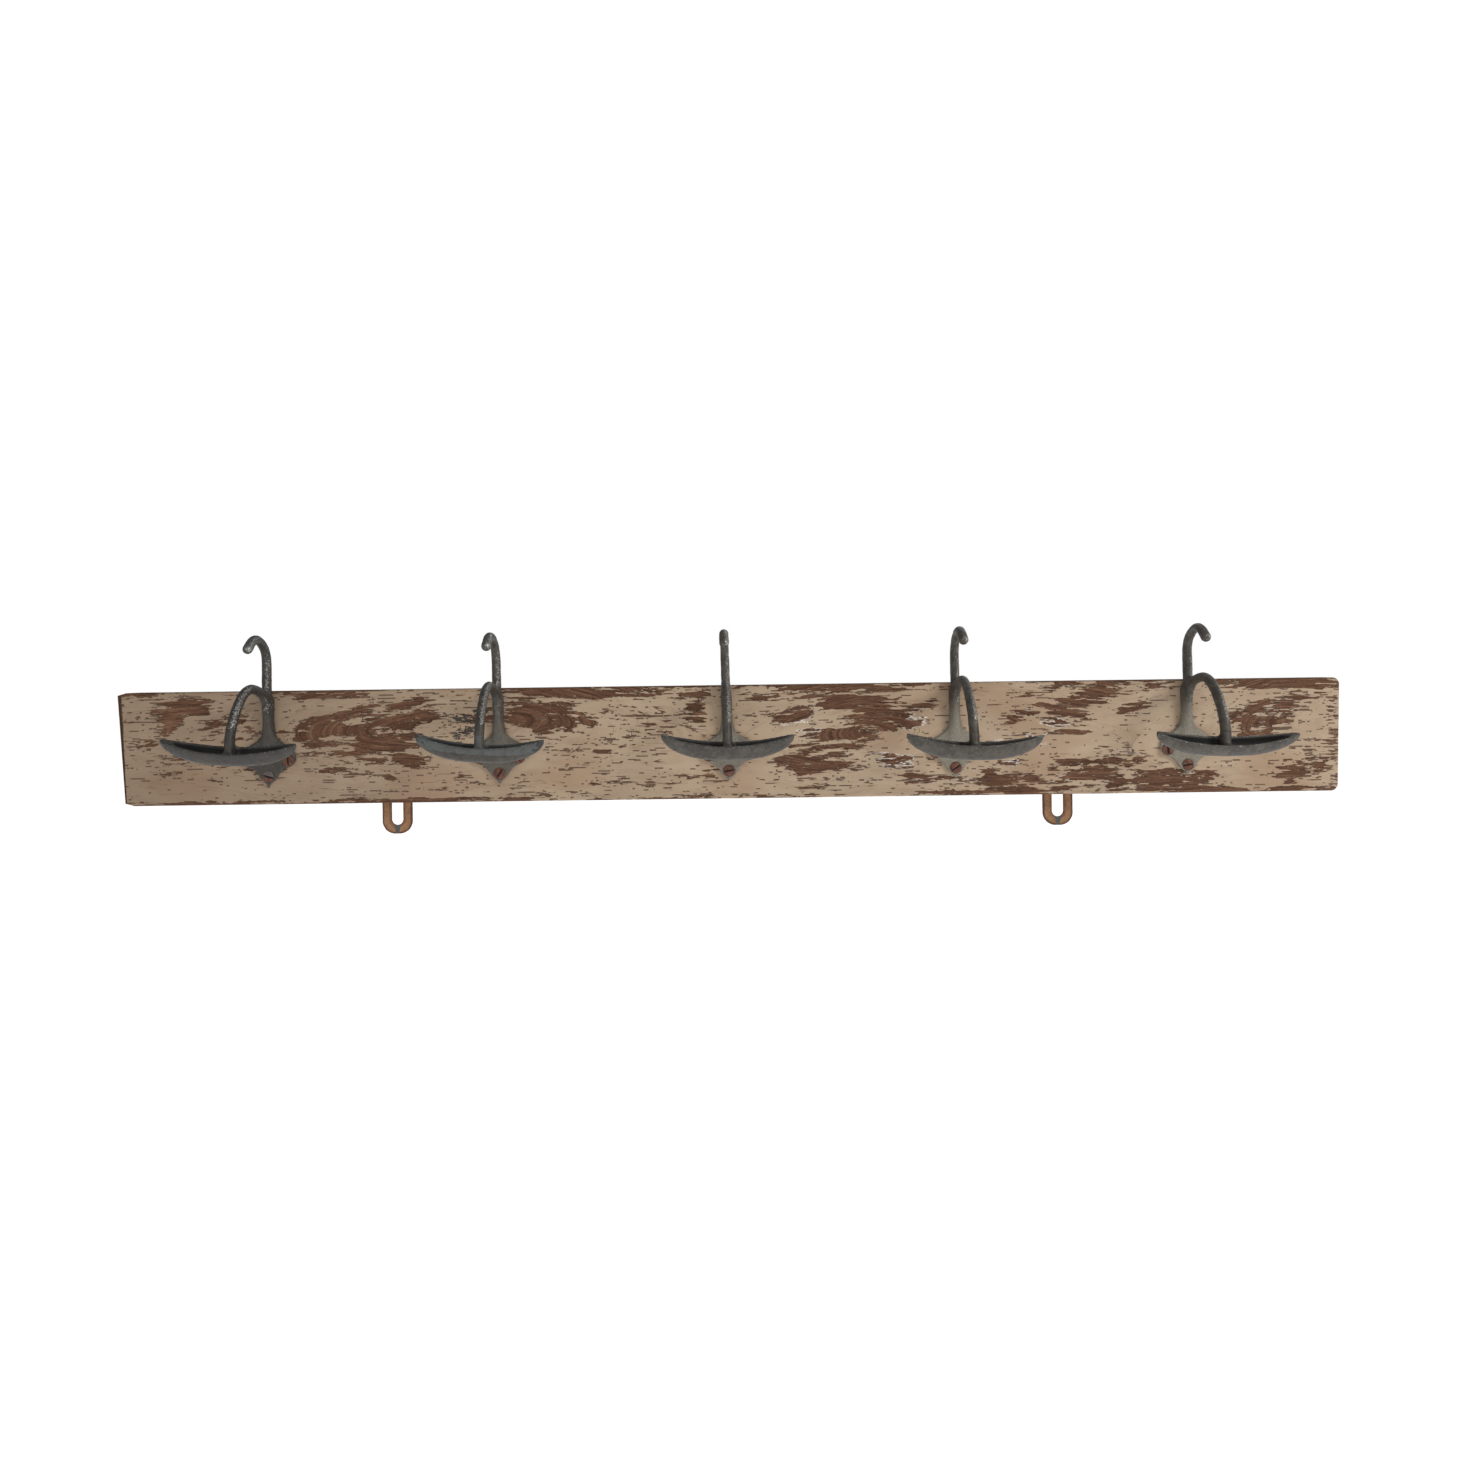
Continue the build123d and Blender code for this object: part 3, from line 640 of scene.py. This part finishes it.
def rusty_screw():
    """A dry, rusted wood screw, with painted shade in its slot and at its rim."""
    material, tree, shader = new_material("rusty_screw")
    place = texture_place(tree, (1, 1, 1))
    cloud = speckle(tree, place, 260, 4, 0.65)
    crust = speckle(tree, place, 1100, 3, 0.7)
    colour = ramp(
        tree,
        cloud,
        (0.3, (0.04, 0.014, 0.009)),
        (0.5, (0.095, 0.034, 0.02)),
        (0.7, (0.17, 0.068, 0.038)),
    )
    colour = colour_mix(tree, band(tree, crust, 0.56, 0.7, 0.0, 0.6), colour, (0.21, 0.105, 0.062, 1))
    # Painted reflection: a pale grey upper half on some screw heads
    grey = maths(tree, "MULTIPLY", attribute(tree, "grey"), band(tree, crust, 0.35, 0.6, 0.6, 1.0))
    colour = colour_mix(tree, grey, colour, (0.105, 0.1, 0.095, 1))
    # Painted shade in the slot and at the rim of the head
    painted_slot_rim_shade = maths(tree, "MULTIPLY", attribute(tree, "painted_slot_rim_shade"), 0.85)
    colour = colour_mix(tree, painted_slot_rim_shade, colour, (0.007, 0.004, 0.003, 1))
    tree.links.new(colour, shader.inputs["Base Color"])
    tree.links.new(band(tree, crust, 0.3, 0.7, 0.85, 0.55), shader.inputs["Roughness"])
    shader.inputs["Metallic"].default_value = 0.2
    tree.links.new(bump(tree, crust, 0.16 * MM, 0.7), shader.inputs["Normal"])
    return material


def rusty_plate():
    """Thin sheet steel, orange with rust, with painted shade at its cut edges, and worn pale between them."""
    material, tree, shader = new_material("rusty_plate")
    place = texture_place(tree, (1, 1, 1))
    cloud = speckle(tree, place, 110, 4, 0.65)
    crust = speckle(tree, place, 700, 4, 0.7)
    colour = ramp(
        tree,
        cloud,
        (0.3, (0.13, 0.047, 0.017)),
        (0.5, (0.22, 0.09, 0.034)),
        (0.7, (0.3, 0.145, 0.062)),
    )
    paler = maths(tree, "MULTIPLY", attribute(tree, "middle"), band(tree, crust, 0.35, 0.65, 0.3, 0.85))
    colour = colour_mix(tree, paler, colour, (0.33, 0.2, 0.11, 1))
    colour = colour_mix(tree, band(tree, crust, 0.6, 0.74, 0.0, 0.5), colour, (0.09, 0.032, 0.014, 1))
    # Painted shade along the plate's outside and slot edges
    edge = maths(tree, "MULTIPLY", maths(tree, "SUBTRACT", crust, 0.5), 0.5)
    edge = maths(tree, "ADD", attribute(tree, "edge"), edge)
    colour = colour_mix(tree, band(tree, edge, 0.35, 0.85, 0.0, 0.88), colour, (0.06, 0.028, 0.018, 1))
    steel = band(tree, attribute(tree, "steel"), 0.4, 0.6)
    colour = colour_mix(tree, steel, colour, (0.085, 0.085, 0.082, 1))
    tree.links.new(colour, shader.inputs["Base Color"])
    tree.links.new(band(tree, crust, 0.3, 0.7, 0.85, 0.6), shader.inputs["Roughness"])
    shader.inputs["Metallic"].default_value = 0.2
    tree.links.new(bump(tree, crust, 0.15 * MM, 0.7), shader.inputs["Normal"])
    return material


# Plank --------------------------------------------------------------------------------------------


def grain_rings(places):
    """Distance from the tree's heart, which wanders along the plank: its level lines are the growth rings."""
    along, depth, height = places.T
    wander = noise((along / 0.09, height / 0.05), SEED + 1) * 2.2 * MM
    heart_height = np.interp(along, GRAIN_STATIONS, HEART_HEIGHT)
    heart_depth = np.interp(along, GRAIN_STATIONS, HEART_DEPTH)
    behind = heart_depth + depth + BOARD_THICKNESS
    return np.hypot(height - heart_height + wander, behind)


def patch_cover(places, patches):
    """How strongly the listed patches bare the wood."""
    cover = np.zeros(len(places))
    for middle_x, middle_z, half_length, half_height, slope, strength in patches:
        across = places[:, 0] / MM - middle_x
        up = places[:, 2] / MM - middle_z - slope * across
        reach = (across / half_length) ** 4 + (up / half_height) ** 4
        cover = np.maximum(cover, strength * np.exp(-0.75 * reach))
    return cover


def bareness(places, rings):
    """A field that is above a half where the paint is gone, before the material's own ragged noise."""
    along = places[:, 0]
    height = places[:, 2]
    bands = noise((along / 0.11, rings / (4.2 * MM)), SEED + 2)
    level = 0.65 * height + 0.35 * rings
    slivers = noise((along / 0.024, level / (1.6 * MM)), SEED + 3)
    splinters = noise((along / 0.009, level / (1.0 * MM)), SEED + 4)
    broad = noise((along / 0.13, height / 0.035), SEED + 5)
    cover = patch_cover(places, BARE_PATCHES)
    field = 0.1 + 0.6 * cover + 0.12 * bands + 0.2 * slivers + 0.16 * splinters + 0.1 * broad
    from_edge = BOARD_HALF_HEIGHT - np.abs(height)
    uneven = 0.62 + 0.4 * noise((along / 0.03, height / 0.02), SEED + 6)
    edge_wear = np.exp(-from_edge / (1.6 * MM)) * uneven
    low_strip = np.exp(-((height + BOARD_HALF_HEIGHT - 3.2 * MM) / (1.5 * MM)) ** 2) * 0.32
    return field + edge_wear + low_strip


def outline_place(share_along, share_up):
    """A point of the plank's front outline grid, with its slanted ends and its corners."""
    height = share_up * BOARD_HALF_HEIGHT
    left = -BOARD_HALF_LENGTH - height * LEFT_END_SLANT
    right = BOARD_HALF_LENGTH + height * RIGHT_END_SLANT
    along = left + (right - left) * share_along
    from_left = along - left
    corner_cut = np.clip(1 - from_left / LEFT_CORNER_LENGTH, 0, 1)
    height = height * (1 - LEFT_CORNER_DROP / BOARD_HALF_HEIGHT * corner_cut)
    out = np.clip(along - (right - RIGHT_CORNER_ROUND), 0, None)
    corner_height = BOARD_HALF_HEIGHT - RIGHT_CORNER_ROUND
    rise = np.clip(np.abs(height) - corner_height, 0, None)
    longest = np.maximum(out, rise)
    reach = np.hypot(out, rise)
    squeeze = np.where((out > 0) & (rise > 0), longest / np.maximum(reach, 1e-9), 1)
    along = np.where(out > 0, right - RIGHT_CORNER_ROUND + out * squeeze, along)
    height = np.sign(height) * np.where(rise > 0, corner_height + rise * squeeze, np.abs(height))
    return along, height


def column_shares():
    """Where the mesh's columns are along the plank, closer together near its ends."""
    near = int(round(END_ZONE / END_COLUMN))
    middle = int((2 * BOARD_HALF_LENGTH - 2 * END_ZONE) / COLUMN)
    middle -= (middle + 2 * near) % COARSE
    steps = np.concatenate((np.full(near, END_COLUMN), np.full(middle, COLUMN), np.full(near, END_COLUMN)))
    places = np.concatenate(([0], np.cumsum(steps)))
    return places / places[-1]


def border_numbers(columns, rows):
    """The numbers of a grid's border points in order round it."""
    bottom = list(range(columns))
    right = [row * (columns + 1) + columns for row in range(rows)]
    top = [rows * (columns + 1) + column for column in range(columns, 0, -1)]
    left = [row * (columns + 1) for row in range(rows, 0, -1)]
    return np.array(bottom + right + top + left)


def grid_faces(columns, rows, start, flipped):
    """The faces of a grid of points numbered row by row from start."""
    faces = []
    for row in range(rows):
        for column in range(columns):
            first = start + row * (columns + 1) + column
            face = (first, first + 1, first + columns + 2, first + columns + 1)
            faces.append(face[::-1] if flipped else face)
    return faces


def ring_points(outline, outward, draw, depth):
    """An outline drawn in by a distance, at a depth."""
    drawn = outline - outward * draw
    return np.stack((drawn[:, 0], np.full(len(drawn), depth), drawn[:, 1]), 1)


def ring_faces(first, second):
    """The faces between two rings that have the same number of points."""
    corners = zip(first, second, np.roll(second, -1), np.roll(first, -1))
    return [tuple(int(number) for number in face) for face in corners]


def make_board(material):
    """The plank: a fine front with real relief, rounded arrises, and coarser edges and back."""
    shares = column_shares()
    columns = len(shares) - 1
    rows = int(round(2 * BOARD_HALF_HEIGHT / ROW / COARSE)) * COARSE
    share_along, share_up = np.meshgrid(shares, np.linspace(-1, 1, rows + 1))
    along, height = outline_place(share_along.ravel(), share_up.ravel())
    front = np.stack((along, np.full(along.shape, -BOARD_THICKNESS), height), 1)
    border = border_numbers(columns, rows)
    ring = front[border][:, (0, 2)]
    tangent = np.roll(ring, -1, 0) - np.roll(ring, 1, 0)
    outward = np.stack((tangent[:, 1], -tangent[:, 0]), 1)
    outward /= np.linalg.norm(outward, axis=1)[:, None]

    # The front grid is drawn in by the arris, which then turns back to the full outline
    drawn_in = front.copy()
    drawn_in[:, 0] *= (BOARD_HALF_LENGTH - ARRIS_ROUND) / BOARD_HALF_LENGTH
    drawn_in[:, 2] *= 1 - ARRIS_ROUND / BOARD_HALF_HEIGHT
    vertices = [drawn_in]
    faces = grid_faces(columns, rows, 0, False)
    count = len(drawn_in)
    previous = border
    for step in range(1, ARRIS_STEPS + 1):
        turn = math.radians(90) * step / ARRIS_STEPS
        draw = ARRIS_ROUND * (1 - math.sin(turn))
        depth = -BOARD_THICKNESS + ARRIS_ROUND * (1 - math.cos(turn))
        numbers = np.arange(len(ring)) + count
        vertices.append(ring_points(ring, outward, draw, depth))
        count += len(ring)
        faces += ring_faces(previous, numbers)
        previous = numbers

    # The edges go back in coarse steps, and the first of them gathers the fine points
    coarse_ring = ring[::COARSE]
    coarse_out = outward[::COARSE]
    depths = np.linspace(-BOARD_THICKNESS + ARRIS_ROUND, -ARRIS_ROUND, EDGE_STEPS)[1:]
    settings = [(depth, 0.0) for depth in depths] + [(-0.3 * ARRIS_ROUND, 0.3 * ARRIS_ROUND)]
    fine = previous
    previous = None
    for depth, draw in settings:
        numbers = np.arange(len(coarse_ring)) + count
        vertices.append(ring_points(coarse_ring, coarse_out, draw, depth))
        count += len(coarse_ring)
        if previous is None:
            wrapped = np.append(fine, fine[0])
            for place, (here, there) in enumerate(zip(numbers, np.roll(numbers, -1))):
                run = wrapped[place * COARSE : place * COARSE + COARSE + 1]
                faces.append((int(here), int(there), *[int(number) for number in run[::-1]]))
        else:
            faces += ring_faces(previous, numbers)
        previous = numbers

    # The back is a coarse grid whose border is the last ring
    back_columns = columns // COARSE
    back_rows = rows // COARSE
    grid = drawn_in.reshape(rows + 1, columns + 1, 3)[::COARSE, ::COARSE].copy()
    grid[:, :, 1] = 0.0
    vertices.append(grid.reshape(-1, 3))
    back_border = border_numbers(back_columns, back_rows) + count
    faces += grid_faces(back_columns, back_rows, count, True)
    faces += ring_faces(previous, back_border)

    places = np.concatenate(vertices)
    rings = grain_rings(places)
    bare = bareness(places, rings)
    left_edge = -BOARD_HALF_LENGTH - places[:, 2] * LEFT_END_SLANT
    height_share = places[:, 2] / BOARD_HALF_HEIGHT
    bevel_width = np.interp(height_share, (-1, 1), (SAW_BEVEL_BOTTOM, SAW_BEVEL_TOP))
    bevel = np.clip(1 - (places[:, 0] - left_edge) / bevel_width, 0, 1)
    out = -places[:, 1]
    front_share = smooth_step(out, BOARD_THICKNESS - ARRIS_ROUND, BOARD_THICKNESS - 0.2 * MM)
    hidden = smooth_step(places[:, 1], -0.75 * BOARD_THICKNESS, -0.4 * BOARD_THICKNESS)
    end_grain = smooth_step(bevel, 0.0, 0.3)
    bare = np.maximum(bare, np.maximum(end_grain, hidden))

    # Relief: the paint stands proud of the wood, whose soft grain is worn back
    film = 1 - smooth_step(bare, 0.42, 0.58)
    grooves = 0.5 + 0.5 * noise((places[:, 0] / 0.05, rings / (1.3 * MM)), SEED + 8)
    sink = (1 - film) * (PAINT_THICKNESS + GRAIN_RELIEF * grooves) * front_share
    sway = noise((places[:, 0] / 0.16, places[:, 2] / 0.06), SEED + 9) * 0.12 * MM * front_share
    places[:, 1] += sink + sway + bevel * SAW_BEVEL_DEPTH * front_share + 0.12 * MM * front_share

    mesh = bpy.data.meshes.new("board_wood")
    mesh.from_pydata(places.tolist(), [], faces)
    mesh.validate()
    store(mesh, "bare", bare)
    store(mesh, "rings", rings)
    store(mesh, "char", patch_cover(places, [(*mark, 1.0) for mark in CHARRED_MARKS]))
    zones = patch_cover(places, [(*zone, 0.0, 1.0) for zone in CHIP_ZONES])
    stray = smooth_step(noise((places[:, 0] / 0.03, places[:, 2] / 0.012), SEED + 10), 0.35, 0.6)
    right_side = smooth_step(places[:, 0], 0.02, 0.08)
    store(mesh, "chips", np.clip(0.85 * zones + 0.12 * (right_side * stray), 0, 1))
    # Painted shade on the left end's bevel and on the back of the edges
    store(mesh, "painted_end_and_edge_shade", np.maximum(end_grain * 0.7, hidden * 0.5))
    # Painted shade towards the left end, set at stations along the plank
    store(mesh, "painted_left_shade", np.interp(places[:, 0], SHADE_STATIONS, LEFT_END_SHADE))
    store(mesh, "warm", smooth_step(noise((places[:, 0] / 0.07, places[:, 2] / 0.03), SEED + 11), 0.1, 0.8))
    board = new_piece("board_wood", mesh, material)
    cut_rebates(board)
    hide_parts("board")


def rounded_strip(half_width, low, high, radius, steps=10):
    """The outline of an upright strip with rounded corners, anticlockwise from its lower right corner."""
    points = []
    bottom = low + radius
    top = high - radius
    for side, height, start in ((1, bottom, -90), (1, top, 0), (-1, top, 90), (-1, bottom, 180)):
        middle = side * (half_width - radius)
        for step in range(steps + 1):
            turn = math.radians(start + 90 * step / steps)
            points.append((middle + radius * math.cos(turn), height + radius * math.sin(turn)))
    return points


def prism(name, outline, middle_x, front, back):
    """A solid with that outline between two depths."""
    count = len(outline)
    vertices = [(middle_x + x, front, z) for x, z in outline] + [(middle_x + x, back, z) for x, z in outline]
    faces = [tuple(range(count)), tuple(range(2 * count - 1, count - 1, -1))]
    for number in range(count):
        following = (number + 1) % count
        faces.append((number, number + count, following + count, following))
    mesh = bpy.data.meshes.new(name)
    mesh.from_pydata(vertices, [], faces)
    return mesh


def cut_rebates(board):
    """Cuts the shallow recesses in the back that the hanger plates are let into."""
    half_width = HANGER_HALF_WIDTH + REBATE_CLEARANCE
    top = HANGER_BOTTOM + HANGER_LENGTH + REBATE_CLEARANCE
    outline = rounded_strip(half_width, HANGER_BOTTOM, top, HANGER_END_ROUND + REBATE_CLEARANCE)
    for place in HANGERS.values():
        mesh = prism("cutter", outline, place, -HANGER_THICKNESS, CUTTER_REACH)
        cutter = bpy.data.objects.new("cutter", mesh)
        bpy.context.scene.collection.objects.link(cutter)
        modifier = board.modifiers.new("rebate", "BOOLEAN")
        modifier.operation = "DIFFERENCE"
        modifier.solver = "MANIFOLD"
        modifier.object = cutter
        apply_modifiers(board)
        bpy.data.objects.remove(cutter)


# Hooks --------------------------------------------------------------------------------------------


def turned(first, second, degrees):
    """Two coordinates in a frame that is turned from the first axis towards the opposite of the second."""
    angle = math.radians(degrees)
    return (
        first * math.cos(angle) - second * math.sin(angle),
        first * math.sin(angle) + second * math.cos(angle),
    )


def make_hook(name, facts, material):
    """A casting: the CAD shape with filleted corners, soft edges and an uneven sand-cast skin."""
    mesh = remesh(copied_mesh(name), CAST_VOXEL)
    set_vertices(mesh, vertex_array(mesh) + normal_array(mesh) * CAST_FILLET)
    mesh = remesh(mesh, CAST_VOXEL)
    places = smoothed(vertex_array(mesh), edge_array(mesh), 2)
    set_vertices(mesh, places)
    set_vertices(mesh, places - normal_array(mesh) * CAST_FILLET)
    mesh = remesh(mesh, CAST_VOXEL)
    edges = edge_array(mesh)
    places = smoothed(vertex_array(mesh), edges, 3)
    set_vertices(mesh, places)
    normals = normal_array(mesh)
    convex = curvature(places, normals, edges)

    out = -BOARD_THICKNESS - places[:, 1]
    free = smooth_step(out, 1.2 * MM, 2.4 * MM)
    lumps = noise(places.T / (6 * MM), SEED + 20) * 0.12 * MM
    grit = noise(places.T / (2.1 * MM), SEED + 21) * 0.07 * MM
    dents = smooth_step(noise(places.T / (3.4 * MM), SEED + 22), 0.45, 0.8) * 0.18 * MM
    places = places + normals * ((lumps + grit - dents) * free)[:, None]
    places[:, 1] = np.minimum(places[:, 1], -BOARD_THICKNESS - 0.02 * MM)
    set_vertices(mesh, places)

    place = facts["place"] * MM
    across, height = turned(places[:, 0] - place, places[:, 2], facts["lean"])
    low = 1 - smooth_step(height, 18 * MM, 40 * MM)
    near_wall = 1 - smooth_step(out, 9 * MM, 20 * MM)
    # Painted highlight: the sides of the bars that face the main light are made brighter, along with real
    # wear on convex edges
    key_light_facing = np.clip(normals @ np.array((0.7, -0.62, 0.3)), 0, 1) ** 3
    cup_height = facts["cup_height"] * MM
    from_cup = np.hypot(out - CUP_OUT, height - cup_height)
    above_plate = smooth_step(height, -2 * MM, 6 * MM)
    on_bars = smooth_step(from_cup, 14 * MM, 20 * MM) * above_plate * (1 - near_wall * low)
    wear_and_highlight = on_bars * (0.7 * key_light_facing + 0.04) + smooth_step(convex, 0.02, 0.06) * 0.35

    # The trough's own directions: along it, across it towards the front rim, and down from its rim
    along_cup, above = turned(across, height - cup_height, facts["cup_tilt"] - facts["lean"])
    forward, above = turned(out - CUP_OUT, above, facts["cup_pitch"])
    share = along_cup / (facts["cup_length"] * MM / 2)
    below = CUP_RIM_RISE * share**2 - above
    normal_forward, normal_up = turned(-normals[:, 1], normals[:, 2], facts["cup_pitch"])
    reach = np.hypot(forward, below)
    inwards = (below * normal_up - forward * normal_forward) / np.maximum(reach, 0.1 * MM)
    in_cup = (reach < CUP_REACH) & (np.abs(share) < 1)
    # Painted shade inside the trough, below its rim
    painted_trough_shade = in_cup * smooth_step(inwards, 0.0, 0.35) * smooth_step(below, 0.3 * MM, 2.2 * MM)
    from_tip = np.hypot(out - CROOK_TIP_OUT, height - TIP_PAINT_HEIGHT)
    on_tip = 1 - smooth_step(from_tip, 6 * MM, 16 * MM)
    blue = facts["blue_cup"] * in_cup + facts["blue_tip"] * on_tip
    cup_ends = smooth_step(np.abs(share), 0.6, 0.95) * in_cup * facts["blue_cup"]
    store(mesh, "pale", facts["pale_plate"] * low * near_wall)
    store(mesh, "tarnish", np.full(len(places), facts["tarnish"]))
    store(mesh, "wear_and_highlight", wear_and_highlight)
    store(mesh, "painted_trough_shade", painted_trough_shade)
    store(mesh, "blue", np.clip(blue, 0, 1))
    store(mesh, "chipped", cup_ends * 0.75)
    hook = new_piece(name + "_casting", mesh, material)
    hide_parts(name)


# Screws -------------------------------------------------------------------------------------------


def make_screw(name, material):
    """A wood screw with a worn dome and a softened slot."""
    mesh = remesh(copied_mesh(name), SCREW_VOXEL)
    places = smoothed(vertex_array(mesh), edge_array(mesh), 2)
    set_vertices(mesh, places)
    normals = normal_array(mesh)
    out = -BOARD_THICKNESS - PLATE_THICKNESS - places[:, 1]
    showing = smooth_step(out, -0.1 * MM, 0.3 * MM)
    crust = noise(places.T / (1.1 * MM), SEED + 40) * 0.05 * MM
    set_vertices(mesh, places + normals * (crust * showing)[:, None])
    low, high = (Vector(corner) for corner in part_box(name))
    middle = (low + high) / 2
    radius = np.hypot(places[:, 0] - middle.x, places[:, 2] - middle.z)
    dome_there = SCREW_DOME * (1 - (radius / SCREW_HEAD_RADIUS) ** 2)
    at_rim = smooth_step(radius, SCREW_HEAD_RADIUS - 0.9 * MM, SCREW_HEAD_RADIUS)
    # Painted shade in the slot and round the rim of the head
    in_slot = smooth_step(dome_there - out, 0.35 * MM, 0.8 * MM) * (1 - at_rim)
    store(mesh, "painted_slot_rim_shade", np.maximum(in_slot, 0.3 * at_rim))
    # Painted reflection on the upper half of the head
    top_half = smooth_step(places[:, 2] - middle.z, -1.5 * MM, 0.5 * MM)
    store(mesh, "grey", SCREW_TOP_SHEEN.get(name, 0.0) * top_half)
    screw = new_piece(name + "_rusted", mesh, material)
    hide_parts(name)


# Hanger plates ------------------------------------------------------------------------------------


def strip_distance(across, height, half_width, low, high, radius):
    """Signed distance to an upright strip with rounded corners, negative inside."""
    out = np.abs(across) - (half_width - radius)
    rise = np.abs(height - (low + high) / 2) - ((high - low) / 2 - radius)
    outside = np.hypot(np.clip(out, 0, None), np.clip(rise, 0, None))
    return outside + np.minimum(np.maximum(out, rise), 0) - radius


def make_hanger_plate(name, place, material):
    """A slotted strap of sheet steel with worn round edges."""
    mesh = remesh(copied_mesh(name), PLATE_VOXEL)
    edges = edge_array(mesh)
    places = smoothed(vertex_array(mesh), edges, 2)
    set_vertices(mesh, places)
    normals = normal_array(mesh)
    fine = noise(places.T / (1.8 * MM), SEED + 30) * 0.05 * MM
    broad = noise(places.T / (5 * MM), SEED + 31) * 0.06 * MM
    places = places + normals * (fine + broad)[:, None]
    places[:, 1] = np.clip(places[:, 1], -HANGER_THICKNESS, 0)
    set_vertices(mesh, places)
    across = places[:, 0] - place
    height = places[:, 2]
    top = HANGER_BOTTOM + HANGER_LENGTH
    outer = -strip_distance(across, height, HANGER_HALF_WIDTH, HANGER_BOTTOM, top, HANGER_END_ROUND)
    slot_half = HANGER_SLOT_HALF_WIDTH
    slot_high = HANGER_SLOT_LOW + HANGER_SLOT_LENGTH
    inner = strip_distance(across, height, slot_half, HANGER_SLOT_LOW, slot_high, slot_half)
    at_outside = 1 - smooth_step(outer, 0.4 * MM, 2.4 * MM)
    at_slot = 1 - smooth_step(inner, 0.1 * MM, 1.3 * MM)
    middle = smooth_step(np.minimum(outer, inner), 1.4 * MM, 3.0 * MM)

    # The bare steel streak below the slot, wider at its top
    streak_half = 1.4 * MM + 1.6 * MM * smooth_step(height, HANGER_BOTTOM, HANGER_SLOT_LOW)
    streak = 1 - smooth_step(np.abs(across), 0.7 * streak_half, 1.3 * streak_half)
    # Painted shade at the outside and slot edges
    store(mesh, "edge", np.maximum(at_outside, 0.8 * at_slot))
    store(mesh, "middle", middle)
    store(mesh, "steel", streak * (height < HANGER_SLOT_LOW + 1 * MM))
    plate = new_piece(name + "_steel", mesh, material)
    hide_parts(name)


# Studio -------------------------------------------------------------------------------------------


def make_camera():
    """A camera that faces the plank from a little above its middle."""
    data = bpy.data.cameras.new("camera")
    data.lens = CAMERA_LENS
    data.sensor_width = 36
    data.shift_y = CAMERA_SHIFT
    camera = bpy.data.objects.new("camera", data)
    camera.rotation_mode = "XYZ"
    camera.location = CAMERA_PLACE
    camera.rotation_euler = (math.radians(90), 0, 0)
    camera.rotation_euler.rotate_axis("Z", CAMERA_ROLL)
    bpy.context.scene.collection.objects.link(camera)
    bpy.context.scene.camera = camera


def area_light(name, place, target, size, power, colour):
    """A soft square light aimed at a point."""
    data = bpy.data.lights.new(name, "AREA")
    data.size = size
    data.energy = power
    data.color = colour
    light = bpy.data.objects.new(name, data)
    light.location = place
    light.rotation_euler = (Vector(target) - Vector(place)).to_track_quat("-Z", "Y").to_euler()
    bpy.context.scene.collection.objects.link(light)


def make_studio():
    """A pale floor, a white world that lights softly, and three lights, the main one from the upper right."""
    mesh = bpy.data.meshes.new("floor")
    reach = FLOOR_REACH
    mesh.from_pydata(
        [
            (-reach, -reach, FLOOR_HEIGHT),
            (reach, -reach, FLOOR_HEIGHT),
            (reach, reach, FLOOR_HEIGHT),
            (-reach, reach, FLOOR_HEIGHT),
        ],
        [],
        [(0, 1, 2, 3)],
    )
    floor = bpy.data.objects.new("floor", mesh)
    material, tree, shader = new_material("floor")
    shader.inputs["Base Color"].default_value = (0.92, 0.92, 0.92, 1)
    shader.inputs["Roughness"].default_value = 0.9
    shader.inputs["Emission Color"].default_value = (1, 1, 1, 1)
    shader.inputs["Emission Strength"].default_value = FLOOR_GLOW
    mesh.materials.append(material)
    bpy.context.scene.collection.objects.link(floor)

    world = bpy.data.worlds.new("world")
    bpy.context.scene.world = world
    world.use_nodes = True
    tree = world.node_tree
    background = tree.nodes["Background"]
    background.inputs["Color"].default_value = (1, 1, 1, 1)
    seen = node(tree, "LightPath").outputs["Is Camera Ray"]
    tree.links.new(number_mix(tree, seen, AMBIENT, 1.0), background.inputs["Strength"])

    area_light("key", (1.8, -1.5, 1.25), (0.0, 0, 0), 0.6, 33, (1.0, 0.98, 0.95))
    area_light("fill", (-1.3, -2.0, 0.7), (-0.2, 0, 0), 1.8, 6, (1.0, 0.95, 0.88))
    area_light("rim", (0.6, 1.6, 1.6), (0, 0, 0), 1.2, 10, (1, 1, 1))
    bpy.context.scene.view_settings.view_transform = "Standard"


make_camera()
make_studio()

paint = flaked_paint()
casting = pitted_casting()
screw_rust = rusty_screw()
plate_rust = rusty_plate()

make_board(paint)
for hook_name, hook_facts in HOOKS.items():
    make_hook(hook_name, hook_facts, casting)
for plate_name, plate_place in HANGERS.items():
    make_hanger_plate(plate_name, plate_place, plate_rust)
for node_name, cad_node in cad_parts.items():
    if node_name.startswith("hook_") and "screw" in node_name:
        make_screw(node_name, screw_rust)
    elif "screw" in node_name:
        cad_node.data.materials.clear()
        cad_node.data.materials.append(screw_rust)
